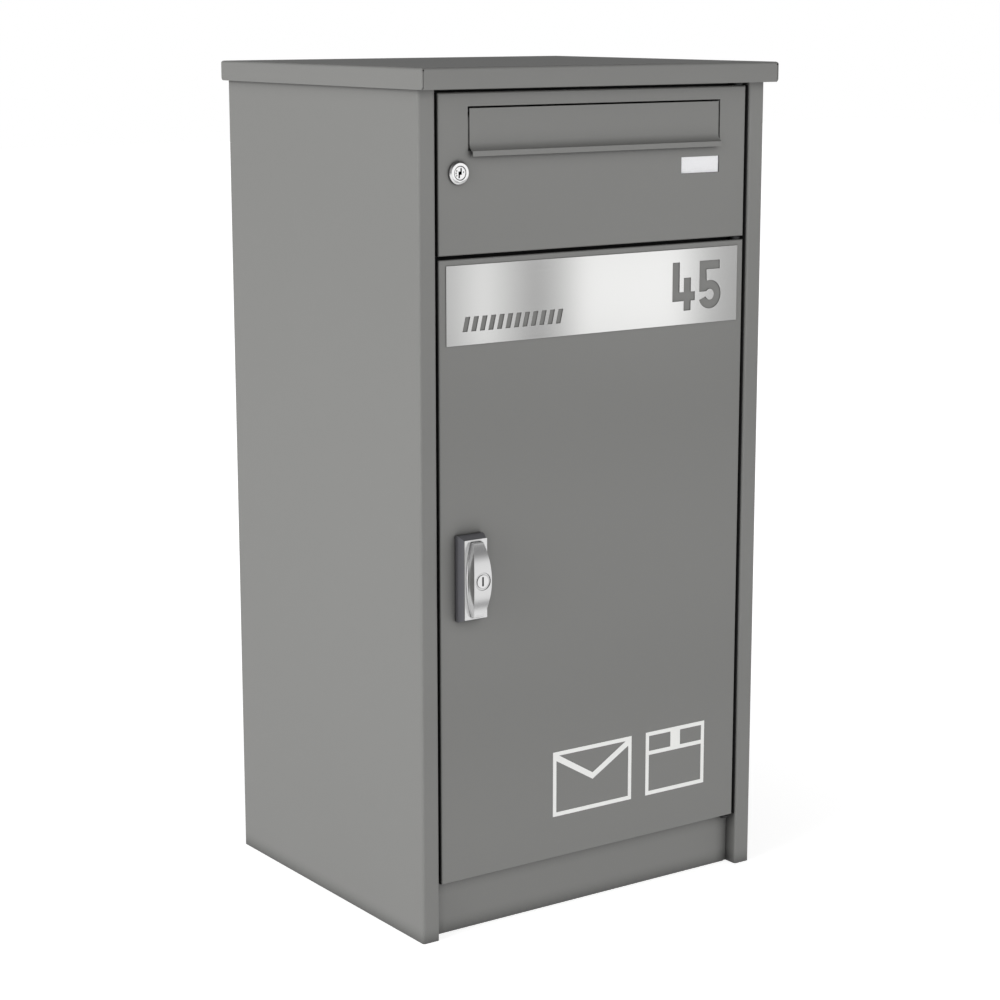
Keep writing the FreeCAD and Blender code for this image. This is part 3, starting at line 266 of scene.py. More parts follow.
@dataclass(frozen=True)
class PowderCoat(Finish):
    """Polyester powder coat, electrostatically sprayed and baked: semi-matt, with a fine orange peel."""

    # Every coat gets painted shade this far into its gaps and inner corners.
    painted_shade_mm: float = 20.0
    peel_mm: float = 3.5
    peel_depth_mm: float = 0.02
    resin_ior: float = 1.5

    def dress(self, tree: Tree, shader: Node, place: Socket) -> None:
        """Lay a wide orange peel under the fine grain, and paint shade into gaps and inner corners.

        Args:
            tree: The material's node tree.
            shader: The principled shader.
            place: Where a point is on the piece, in metres.
        """
        shader.inputs["IOR"].default_value = self.resin_ior
        grain = 1 / (self.grain_mm * MM)
        hills = 1 / (self.peel_mm * MM)
        fine = add_node(tree, "ShaderNodeTexNoise", Vector=place, Scale=grain, Detail=2.0)
        peel = add_node(tree, "ShaderNodeTexNoise", Vector=place, Scale=hills, Detail=1.0)
        wide = add_node(tree, "ShaderNodeTexNoise", Vector=place, Scale=3.0, Detail=1.0)
        self.blend_tones(tree, shader, fine.outputs["Fac"], wide.outputs["Fac"])
        self.paint_shade(tree, shader)
        under = add_node(
            tree,
            "ShaderNodeBump",
            Height=peel.outputs["Fac"],
            Distance=self.peel_depth_mm * MM,
        )
        over = add_node(
            tree,
            "ShaderNodeBump",
            Height=fine.outputs["Fac"],
            Distance=self.grain_depth_mm * MM,
            Normal=under.outputs[0],
        )
        tree.links.new(over.outputs[0], shader.inputs["Normal"])


@dataclass(frozen=True)
class BrushedMetal(Finish):
    """Metal brushed along X: long hairlines, whose reflections spread across the brushing."""

    line_mm: float = 60.0
    spread: float = 0.8

    def dress(self, tree: Tree, shader: Node, place: Socket) -> None:
        """Stretch the grain into hairlines.

        Args:
            tree: The material's node tree.
            shader: The principled shader.
            place: Where a point is on the piece, in metres.
        """
        shader.inputs["Metallic"].default_value = 1.0
        shader.inputs["Anisotropic"].default_value = self.spread
        shader.inputs["Anisotropic Rotation"].default_value = 0.25
        across = 1 / (self.grain_mm * MM)
        along = 1 / (self.line_mm * MM)
        stretched = add_node(tree, "ShaderNodeMapping", Vector=place, Scale=(along, across, across))
        lines = add_node(tree, "ShaderNodeTexNoise", Vector=stretched.outputs[0], Scale=1.0, Detail=3.0)
        wide = add_node(tree, "ShaderNodeTexNoise", Vector=place, Scale=8.0, Detail=1.0)
        self.blend_tones(tree, shader, lines.outputs["Fac"], wide.outputs["Fac"])
        self.bump(tree, shader, lines.outputs["Fac"])


@dataclass(frozen=True)
class PlatedMetal(Finish):
    """Electroplated metal: an even film over a polished or satin ground."""

    def dress(self, tree: Tree, shader: Node, place: Socket) -> None:
        """Make it metal, then lay the grain as for any finish.

        Args:
            tree: The material's node tree.
            shader: The principled shader.
            place: Where a point is on the piece, in metres.
        """
        shader.inputs["Metallic"].default_value = 1.0
        super().dress(tree, shader, place)


@dataclass(frozen=True)
class Foam(Finish):
    """Closed-cell foam rubber, cut from sheet: matt, with open cells on its cut faces."""

    def dress(self, tree: Tree, shader: Node, place: Socket) -> None:
        """Press round cells into the surface.

        Args:
            tree: The material's node tree.
            shader: The principled shader.
            place: Where a point is on the piece, in metres.
        """
        cells = add_node(tree, "ShaderNodeTexVoronoi", Vector=place, Scale=1 / (self.grain_mm * MM))
        wide = add_node(tree, "ShaderNodeTexNoise", Vector=place, Scale=25.0, Detail=2.0)
        self.blend_tones(tree, shader, cells.outputs["Distance"], wide.outputs["Fac"])
        self.bump(tree, shader, cells.outputs["Distance"])


@dataclass(frozen=True)
class ClearSheet(Finish):
    """Cast clear acrylic: glossy and nearly colourless, with what lies behind it in view."""

    cover: float = 0.03
    acrylic_ior: float = 1.49

    def dress(self, tree: Tree, shader: Node, place: Socket) -> None:
        """Let the card show through.

        Args:
            tree: The material's node tree.
            shader: The principled shader.
            place: Where a point is on the piece, in metres.
        """
        shader.inputs["IOR"].default_value = self.acrylic_ior
        shader.inputs["Alpha"].default_value = self.cover
        super().dress(tree, shader, place)


@dataclass(frozen=True)
class GlowingCard(Finish):
    """Uncoated card with a painted glow: a faint emission that makes it look whiter than what is around it.
    """

    # Strength of the painted glow, which lights the card though it is no lamp.
    painted_glow: float = 0.09
    glow: Colour = (0.98, 0.98, 1.0, 1.0)

    def dress(self, tree: Tree, shader: Node, place: Socket) -> None:
        """Add a faint painted glow, an emission, to the plain finish.

        Args:
            tree: The material's node tree.
            shader: The principled shader.
            place: Where a point is on the piece, in metres.
        """
        shader.inputs["Emission Color"].default_value = self.glow
        shader.inputs["Emission Strength"].default_value = self.painted_glow
        super().dress(tree, shader, place)


class Slot(Enum):
    """The record's material slots, each with its finish.

    A finish is its name, colour, roughness, grain size and grain depth in mm. Where they differ from the
    usual, how far its tone varies and how wide and how dark its painted shade in corners is come next.
    """

    # Polyester powder coat, dusty grey: matt body colour with a soft sheen on its bends, and painted shade in
    # its gaps.
    GREY_COAT = (
        "grey_powder_coat",
        PowderCoat("powder_coat_dusty_grey", "#7b7b79", 0.46, 0.7, 0.012, 0.045),
    )
    # Bright zinc plate: bluish silver, slightly cloudy.
    ZINC = ("zinc_plated_steel", PlatedMetal("zinc_plate_bright", "#b4b8bc", 0.36, 1.6, 0.01, 0.12))
    # Black steel, half matt, for the hinge lugs and pins that stand in the gaps: their black is painted
    # shade.
    GAP_SHADE_BLACK = ("black_steel", PowderCoat("black_gap_shade", "#19191a", 0.6, 0.7, 0.01, 0.1))
    # Foam rubber seal: black and matt.
    FOAM = ("foam_rubber", Foam("epdm_foam_black", "#141414", 0.9, 1.1, 0.12, 0.3))
    # Moulded nylon: black with a faint gloss.
    NYLON = ("nylon", Finish("nylon_moulded_black", "#1a1a1b", 0.48, 0.5, 0.01, 0.12))
    # Stainless sheet, brushed lengthways: hairlines 0.8 mm apart, since real ones are too fine to show.
    STAINLESS = ("brushed_stainless", BrushedMetal("stainless_brushed", "#d6d6d5", 0.21, 0.8, 0.002, 0.05))
    # Bright nickel on a brass lock: a clear mirror, with painted shade in its keyways and grooves.
    NICKEL = ("bright_nickel", PlatedMetal("nickel_bright", "#e6e6e6", 0.14, 0.9, 0.001, 0.03, 5.0, 0.45))
    # Satin chrome on die-cast zinc: a soft mirror, with painted shade in its recesses.
    CHROME = ("satin_chrome", PlatedMetal("chrome_satin", "#dedede", 0.2, 0.8, 0.001, 0.03, 3.0, 0.35))
    # Stove enamel on die-cast zinc: dark grey, half gloss, with painted shade in its inner corners.
    DARK_ENAMEL = ("dark_grey_zinc", PowderCoat("enamel_dark_grey", "#606064", 0.34, 0.6, 0.008, 0.06))
    # Acrylic, cast and polished, for the name label's window.
    WINDOW = ("clear_window", ClearSheet("acrylic_clear", "#f4f4f6", 0.08, 6.0, 0.001, 0.01))
    # Card: uncoated, with a faint fibre and a faint painted glow.
    CARD = ("white_card", GlowingCard("card_white", "#f8f8f9", 0.8, 0.8, 0.01, 0.012))
    # Polystyrene, moulded: dark grey, for the holder behind the name label.
    GREY_PLASTIC = ("grey_plastic", Finish("polystyrene_dark_grey", "#4a4a4c", 0.5, 0.6, 0.01, 0.08))
    # Cut vinyl film: white, with the coat's peel showing through.
    VINYL = ("white_vinyl", Finish("vinyl_white", "#f2f2f0", 0.42, 2.5, 0.006, 0.015))

    @property
    def slot(self) -> str:
        """Name of the slot in the record."""
        return self.value[0]

    def material(self) -> bpy.types.Material:
        """The slot's material, made the first time it is asked for."""
        finish = self.value[1]
        return bpy.data.materials.get(finish.name) or finish.build()


# ---------------------------------------------------------------- making pieces


def dress_node(name: str, slot: Slot) -> None:
    """Give a frame node its finish and leave its mesh alone.

    Args:
        name: The node.
        slot: The finish that it gets.
    """
    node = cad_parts[name]
    for place in node.material_slots:
        place.material = slot.material()
    if not node.material_slots:
        node.data.materials.append(slot.material())


def keep_piece(
    name: str, mesh: bpy.types.Mesh, body: str, slot: Slot, nodes: tuple[str, ...]
) -> bpy.types.Object:
    """Put a finished mesh in the scene as a piece that rides on a body and stands for frame nodes.

    Args:
        name: The piece's name.
        mesh: Its mesh, in place.
        body: The body that it rides on.
        slot: Its finish.
        nodes: The frame nodes that it stands for.

    Returns:
        The piece.
    """
    mesh.name = name
    mesh.materials.clear()
    mesh.materials.append(slot.material())
    piece = bpy.data.objects.new(name, mesh)
    bpy.context.scene.collection.objects.link(piece)
    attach(piece, body)
    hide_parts(*nodes)
    log.info("%s: %d faces, rides on %s", name, len(mesh.polygons), body)
    return piece


def baked(rough: bpy.types.Object) -> bpy.types.Mesh:
    """The mesh that an object's modifiers give, after which the object is removed.

    Args:
        rough: Object with live modifiers.

    Returns:
        A plain mesh.
    """
    bpy.context.view_layer.update()
    mesh = bpy.data.meshes.new_from_object(rough.evaluated_get(bpy.context.evaluated_depsgraph_get()))
    bpy.data.objects.remove(rough)
    return mesh


def shade(mesh: bpy.types.Mesh, angle: float) -> bpy.types.Mesh:
    """Shade a mesh smooth, apart from its sharp edges.

    Args:
        mesh: The mesh.
        angle: Edges that turn more than this many degrees stay sharp.

    Returns:
        The same mesh.
    """
    mesh.shade_smooth()
    mesh.set_sharp_from_angle(angle=math.radians(angle))
    return mesh


def scratch(name: str, shape: bmesh.types.BMesh) -> bpy.types.Object:
    """Make an object of a shape, to work on.

    Args:
        name: Its name.
        shape: The shape, which is freed.

    Returns:
        The object, linked to the scene.
    """
    mesh = bpy.data.meshes.new(name)
    bmesh.ops.recalc_face_normals(shape, faces=shape.faces)
    shape.to_mesh(mesh)
    shape.free()
    made = bpy.data.objects.new(name, mesh)
    bpy.context.scene.collection.objects.link(made)
    return made


def round_off(rough: bpy.types.Object, width: float, segments: int = 2) -> None:
    """Round an object's sharp edges.

    Args:
        rough: The object.
        width: How far the rounding reaches, in metres.
        segments: Steps across it.
    """
    bevel = rough.modifiers.new("edges", "BEVEL")
    bevel.width = width
    bevel.segments = segments
    bevel.limit_method = "ANGLE"
    bevel.angle_limit = EDGE_TURN
    bevel.use_clamp_overlap = True
    bevel.harden_normals = False


def softened(name: str, slot: Slot, width_mm: float, body: str, flat: bool = True) -> None:
    """Stand a copy of a frame node in its place, with its sharp edges rounded like a coated edge.

    Args:
        name: The frame node.
        slot: Its finish.
        width_mm: Width of the rounding.
        body: The body that it rides on.
        flat: Whether all its faces are flat, so that none is shaded smooth.
    """
    shape = bmesh.new()
    shape.from_mesh(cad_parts[name].data)
    bmesh.ops.remove_doubles(shape, verts=shape.verts, dist=SAME_SPOT)
    bmesh.ops.dissolve_limit(shape, angle_limit=FLAT_ENOUGH, verts=shape.verts, edges=shape.edges)
    rough = scratch(f"{name}_rough", shape)
    round_off(rough, width_mm * MM)
    mesh = baked(rough)
    if flat:
        mesh.shade_flat()
    else:
        shade(mesh, CRISP)
    keep_piece(f"{name}_edged", mesh, body, slot, (name,))


# ---------------------------------------------------------------- turned fasteners


@dataclass
class TurnedFasteners:
    """A row or grid of equal turned fasteners, made by Geometry Nodes from one profile."""

    name: str
    node: str
    body: str
    slot: Slot
    profile_mm: Outline
    sides: int
    turn: Point
    first: Point
    columns: int
    column_step: Point
    rows: int
    row_step: Point

    def tree(self) -> bpy.types.GeometryNodeTree:
        """Build the tree: the profile as a stack of extrusions, set on a grid of points.

        Returns:
            The node tree.
        """
        tree = bpy.data.node_groups.new(self.name, "GeometryNodeTree")
        sockets = {
            "Sides": "NodeSocketInt",
            "Scale": "NodeSocketFloat",
            "Turn": "NodeSocketVector",
            "First": "NodeSocketVector",
            "Columns": "NodeSocketInt",
            "Column Step": "NodeSocketVector",
            "Rows": "NodeSocketInt",
            "Row Step": "NodeSocketVector",
        }
        for label, kind in sockets.items():
            tree.interface.new_socket(label, in_out="INPUT", socket_type=kind)
        tree.interface.new_socket("Geometry", in_out="OUTPUT", socket_type="NodeSocketGeometry")
        given = add_node(tree, "NodeGroupInput").outputs
        start, _ = self.profile_mm[0]
        times = {"operation": "MULTIPLY", ("in", 0): given["Scale"]}
        radius = add_node(tree, "ShaderNodeMath", {**times, ("in", 1): start})
        foot = add_node(
            tree,
            "GeometryNodeMeshCircle",
            {"fill_type": "NGON", ("in", "Vertices"): given["Sides"], ("in", "Radius"): radius.outputs[0]},
        )
        solid = foot.outputs[0]
        top = None
        for (before, low), (after, high) in zip(self.profile_mm, self.profile_mm[1:]):
            rise = add_node(tree, "ShaderNodeMath", {**times, ("in", 1): high - low})
            up = add_node(tree, "ShaderNodeCombineXYZ", Z=rise.outputs[0])
            settings = {"mode": "FACES", ("in", "Offset"): up.outputs[0], ("in", "Individual"): False}
            if top is not None:
                settings[("in", "Selection")] = top
            step = add_node(tree, "GeometryNodeExtrudeMesh", {("in", "Mesh"): solid, **settings})
            step.inputs["Offset Scale"].default_value = 1.0
            top = step.outputs["Top"]
            resize = {("in", "Geometry"): step.outputs["Mesh"], ("in", "Selection"): top}
            sized = add_node(tree, "GeometryNodeScaleElements", {**resize, ("in", "Scale"): after / before})
            solid = sized.outputs[0]
        floor = add_node(tree, "GeometryNodeFlipFaces", Mesh=foot.outputs[0])
        shut = add_node(tree, "GeometryNodeJoinGeometry")
        tree.links.new(floor.outputs[0], shut.inputs[0])
        tree.links.new(solid, shut.inputs[0])
        merge = add_node(tree, "GeometryNodeMergeByDistance", Geometry=shut.outputs[0], Distance=SAME_SPOT)
        row = add_node(
            tree,
            "GeometryNodeMeshLine",
            {("in", "Start Location"): given["First"], ("in", "Offset"): given["Row Step"]},
            Count=given["Rows"],
        )
        column = add_node(
            tree,
            "GeometryNodeMeshLine",
            Count=given["Columns"],
            Offset=given["Column Step"],
        )
        grid = add_node(
            tree,
            "GeometryNodeInstanceOnPoints",
            Points=row.outputs[0],
            Instance=column.outputs[0],
        )
        points = add_node(tree, "GeometryNodeRealizeInstances", Geometry=grid.outputs[0])
        turn = add_node(tree, "FunctionNodeEulerToRotation", Euler=given["Turn"])
        placed = add_node(
            tree,
            "GeometryNodeInstanceOnPoints",
            Points=points.outputs[0],
            Instance=merge.outputs[0],
            Rotation=turn.outputs[0],
        )
        real = add_node(tree, "GeometryNodeRealizeInstances", Geometry=placed.outputs[0])
        painted = add_node(
            tree,
            "GeometryNodeSetMaterial",
            Geometry=real.outputs[0],
            Material=self.slot.material(),
        )
        add_node(tree, "NodeGroupOutput", Geometry=painted.outputs[0])
        return tree

    def build(self) -> None:
        """Set the tree's inputs, turn its result into one mesh and keep it."""
        tree = self.tree()
        rough = bpy.data.objects.new(self.name, bpy.data.meshes.new(self.name))
        bpy.context.scene.collection.objects.link(rough)
        modifier = rough.modifiers.new("fasteners", "NODES")
        modifier.node_group = tree
        values = {
            "Sides": self.sides,
            "Scale": MM,
            "Turn": self.turn,
            "First": self.first,
            "Columns": self.columns,
            "Column Step": self.column_step,
            "Rows": self.rows,
            "Row Step": self.row_step,
        }
        for item in tree.interface.items_tree:
            if item.in_out == "INPUT":
                modifier[item.identifier] = values[item.name]
        mesh = shade(baked(rough), TURNED)
        keep_piece(self.name, mesh, self.body, self.slot, (self.node,))


# ---------------------------------------------------------------- sub-assemblies


@dataclass
class Cabinet:
    """Folded carcass with its roof, plinth, shelves, seals and fixings."""

    body: str = "cabinet"
    coated: tuple[str, ...] = (
        "left_side_panel",
        "right_side_panel",
        "back_panel",
        "floor_panel",
        "letterbox_shelf",
        "plinth",
        "top_rail",
        "hood",
    )
    zinc: tuple[str, ...] = (
        "anchor_angle_left",
        "anchor_angle_right",
        "hood_studs",
    )
    # Hinge lugs and pins, coloured black as painted shade, so that they read as the dark gap they stand in.
    black: tuple[str, ...] = (
        "lower_hinge_lug",
        "middle_hinge_lug",
        "upper_hinge_lug",
        "lower_hinge_pin",
        "middle_hinge_pin",
        "upper_hinge_pin",
    )
    # The door seals are black foam; hinge_gap_trim is a black strip set in the hinge-side gap as painted
    # shade.
    seals: tuple[str, ...] = ("lower_door_seal", "upper_door_seal", "hinge_gap_trim")
    rivet_rows: int = 4
    rivet_head: float = 4.0 * MM
    plug_radius: float = 14.0 * MM
    nut_flats_mm: float = 8.0
    nut_height_mm: float = 4.0
    nut_bore_mm: float = 2.6
    nut_chamfer_mm: float = 0.35
    nut_crown: float = 0.88

    def build(self) -> None:
        """Dress the sheets, pins and seals, then make the repeated fixings."""
        for name in self.coated:
            dress_node(name, Slot.GREY_COAT)
        for name in self.zinc:
            dress_node(name, Slot.ZINC)
        for name in self.black:
            dress_node(name, Slot.GAP_SHADE_BLACK)
        for name in self.seals:
            dress_node(name, Slot.FOAM)
        self.rivets().build()
        self.plugs().build()
        self.nuts().build()

    def rivets(self) -> TurnedFasteners:
        """Blind rivets with a domed head outside, a dimple where the mandrel broke, and a bulb inside.

        Returns:
            The fasteners, ready to build.
        """
        low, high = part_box("back_rivets")
        profile = (
            (2.6, 0.0),
            (3.2, 0.5),
            (3.2, 1.2),
            (2.0, 1.2),
            (2.0, 4.2),
            (4.0, 4.2),
            (4.0, 4.45),
            (3.6, 4.85),
            (2.9, 5.15),
            (2.0, 5.35),
            (1.2, 5.4),
            (1.0, 5.1),
        )
        return TurnedFasteners(
            name="back_blind_rivets",
            node="back_rivets",
            body=self.body,
            slot=Slot.ZINC,
            profile_mm=profile,
            sides=28,
            turn=(-math.pi / 2, 0.0, 0.0),
            first=(low.x + self.rivet_head, low.y, low.z + self.rivet_head),
            columns=2,
            column_step=(high.x - low.x - 2 * self.rivet_head, 0.0, 0.0),
            rows=self.rivet_rows,
            row_step=(0.0, 0.0, (high.z - low.z - 2 * self.rivet_head) / (self.rivet_rows - 1)),
        )

    def plugs(self) -> TurnedFasteners:
        """Moulded plugs over the floor bolts, dished on top.

        Returns:
            The fasteners, ready to build.
        """
        low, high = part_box("floor_plugs")
        rim = self.plug_radius / MM
        profile = (
            (10.2, 0.0),
            (10.9, 1.0),
            (10.9, 6.0),
            (rim, 6.0),
            (rim, 6.6),
            (rim - 0.8, 7.5),
            (9.5, 7.4),
            (8.8, 6.9),
        )
        return TurnedFasteners(
            name="floor_plugs_dished",
            node="floor_plugs",
            body=self.body,
            slot=Slot.NYLON,
            profile_mm=profile,
            sides=40,
            turn=(0.0, 0.0, 0.0),
            first=(low.x + self.plug_radius, low.y + self.plug_radius, low.z),
            columns=2,
            column_step=(high.x - low.x - 2 * self.plug_radius, 0.0, 0.0),
            rows=2,
            row_step=(0.0, high.y - low.y - 2 * self.plug_radius, 0.0),
        )

    def nuts(self) -> TurnedFasteners:
        """Hexagon nuts on the roof's studs, chamfered on both ends.

        Returns:
            The fasteners, ready to build.
        """
        low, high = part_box("hood_nuts")
        corner = self.nut_flats_mm / math.sqrt(3)
        crown = corner * self.nut_crown
        top = self.nut_height_mm
        profile = (
            (crown, 0.0),
            (corner, self.nut_chamfer_mm),
            (corner, top - self.nut_chamfer_mm),
            (crown, top),
            (self.nut_bore_mm, top),
        )
        half_x = corner * MM
        half_y = self.nut_flats_mm / 2 * MM
        return TurnedFasteners(
            name="hood_hex_nuts",
            node="hood_nuts",
            body=self.body,
            slot=Slot.ZINC,
            profile_mm=profile,
            sides=6,
            turn=(0.0, 0.0, 0.0),
            first=(low.x + half_x, low.y + half_y, low.z),
            columns=2,
            column_step=(high.x - low.x - 2 * half_x, 0.0, 0.0),
            rows=2,
            row_step=(0.0, high.y - low.y - 2 * half_y, 0.0),
        )


@dataclass
class LetterDoor:
    """Upper door with its slot, flap, name label and cam lock."""

    body: str = "upper_door"
    window_edge: float = 0.35 * MM

    def build(self) -> None:
        """Dress the door and its fittings."""
        for name in ("upper_door_pan", "slot_frame", "flap_brackets", "letter_flap"):
            dress_node(name, Slot.GREY_COAT)
        dress_node("upper_door_bushes", Slot.NYLON)
        for name in ("flap_hinge_rod", "upper_lock_nut", "upper_lock_cam", "upper_cam_screw"):
            dress_node(name, Slot.ZINC)
        dress_node("label_card", Slot.CARD)
        dress_node("label_holder", Slot.GREY_PLASTIC)
        softened("upper_lock_housing", Slot.NICKEL, 0.3, self.body, flat=False)
        self.window()
        LockCore().build()

    def window(self) -> None:
        """Clear window with polished, rounded edges."""
        low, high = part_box("label_window")
        shape = bmesh.new()
        size = Matrix.Diagonal((*(high - low), 1.0))
        bmesh.ops.create_cube(shape, size=1.0, matrix=Matrix.Translation((low + high) / 2) @ size)
        rough = scratch("label_window_rough", shape)
        round_off(rough, self.window_edge, 3)
        mesh = shade(baked(rough), POLISHED)
        keep_piece("label_window_polished", mesh, self.body, Slot.WINDOW, ("label_window",))


@dataclass
class LockCore:
    """Turning core of the letter lock: a groove round its face, a stepped keyway and four pin marks."""

    body: str = "upper_lock"
    radius_mm: float = 7.8
    face_radius_mm: float = 7.1
    groove_mm: float = 2.4
    key_width_mm: float = 4.4
    key_height_mm: float = 10.8
    key_step_mm: float = 1.9
    key_depth_mm: float = 6.0
    mark_mm: float = 0.85
    marks_mm: Outline = ((-4.5, 2.6), (-5.3, 0.0), (-4.5, -2.6), (4.6, 1.0))

    def build(self) -> None:
        """Turn the core, then cut the keyway and the marks."""
        low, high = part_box("upper_lock_plug")
        centre = (low + high) / 2
        shape = bmesh.new()
        profile = (
            (self.face_radius_mm, 0.0),
            (self.face_radius_mm, self.groove_mm),
            (self.radius_mm, self.groove_mm),
            (self.radius_mm, (high.y - low.y) / MM),
        )
        spots = [
            shape.verts.new((centre.x + radius * MM, low.y + back * MM, centre.z))
            for radius, back in profile
        ]
        edges = [shape.edges.new(pair) for pair in zip(spots, spots[1:])]
        bmesh.ops.spin(
            shape,
            geom=spots + edges,
            cent=centre,
            axis=(0.0, 1.0, 0.0),
            angle=math.tau,
            steps=FULL_ROUND,
            use_merge=True,
        )
        bmesh.ops.remove_doubles(shape, verts=shape.verts, dist=SAME_SPOT)
        bmesh.ops.holes_fill(shape, edges=shape.edges)
        rough = scratch("upper_lock_core_rough", shape)
        cutters = [self.keyway(centre.x, low.y, centre.z)]
        for across, up in self.marks_mm:
            mark = bmesh.new()
            at = Matrix.Translation((centre.x + across * MM, low.y, centre.z + up * MM))
            bmesh.ops.create_icosphere(mark, subdivisions=3, radius=self.mark_mm * MM, matrix=at)
            cutters.append(scratch("mark_cutter", mark))
        for cutter in cutters:
            hole = rough.modifiers.new("cut", "BOOLEAN")
            hole.operation = "DIFFERENCE"
            hole.solver = "EXACT"
            hole.object = cutter
        mesh = shade(baked(rough), CRISP)
        for cutter in cutters:
            bpy.data.objects.remove(cutter)
        keep_piece("upper_lock_core", mesh, self.body, Slot.NICKEL, ("upper_lock_plug",))

    def keyway(self, x: float, y: float, z: float) -> bpy.types.Object:
        """Solid of the stepped keyway, as deep in front of the face as behind it.

        Args:
            x: Middle of the face.
            y: Level of the face.
            z: Height of its middle.

        Returns:
            The solid, to cut with.
        """
        wide = self.key_width_mm / 2
        tall = self.key_height_mm / 2
        step = self.key_step_mm
        half = [(wide, -step), (wide, tall), (wide - step, tall), (wide - step, step)]
        outline = half + [(-across, -up) for across, up in half]
        shape = bmesh.new()
        front = [shape.verts.new((x + a * MM, y - self.key_depth_mm * MM, z + u * MM)) for a, u in outline]
        pushed = bmesh.ops.extrude_face_region(shape, geom=[shape.faces.new(front)])
        moved = [item for item in pushed["geom"] if isinstance(item, bmesh.types.BMVert)]
        bmesh.ops.translate(shape, verts=moved, vec=(0.0, self.key_depth_mm * 2 * MM, 0.0))
        return scratch("keyway_cutter", shape)


@dataclass
class ParcelDoor:
    """Lower door with its number plate, sticker and handle plate."""

    body: str = "lower_door"
    screw_head_mm: float = 4.6
    screw_head_height_mm: float = 2.6
    screw_shank_mm: float = 2.4
    screw_socket_mm: float = 2.3
    screw_socket_depth_mm: float = 1.7

    def build(self) -> None:
        """Dress the door and its fittings."""
        for name in ("lower_door_pan", "door_stiffener"):
            dress_node(name, Slot.GREY_COAT)
        dress_node("lower_door_bushes", Slot.NYLON)
        dress_node("pictogram_decal", Slot.VINYL)
        dress_node("handle_gasket", Slot.FOAM)
        softened("number_plate", Slot.STAINLESS, 0.25, self.body)
        softened("handle_base", Slot.DARK_ENAMEL, 0.5, self.body)
        softened("handle_face", Slot.CHROME, 0.25, self.body)
        self.screws().build()

    def screws(self) -> TurnedFasteners:
        """Socket-head screws that hold the handle from inside the door.

        Returns:
            The fasteners, ready to build.
        """
        low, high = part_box("handle_screws")
        head = self.screw_head_mm
        shank = self.screw_shank_mm
        depth = (high.y - low.y) / MM
        under = depth - self.screw_head_height_mm
        profile = (
            (shank - 0.4, 0.0),
            (shank, 0.4),
            (shank, under),
            (head, under),
            (head, depth - 0.9),
            (head - 0.6, depth),
            (self.screw_socket_mm, depth),
            (self.screw_socket_mm, depth - self.screw_socket_depth_mm),
        )
        return TurnedFasteners(
            name="handle_socket_screws",
            node="handle_screws",
            body=self.body,
            slot=Slot.ZINC,
            profile_mm=profile,
            sides=30,
            turn=(-math.pi / 2, 0.0, 0.0),
            first=((low.x + high.x) / 2, low.y, low.z + head * MM),
            columns=1,
            column_step=(0.0, 0.0, 0.0),
            rows=2,
            row_step=(0.0, 0.0, high.z - low.z - 2 * head * MM),
        )


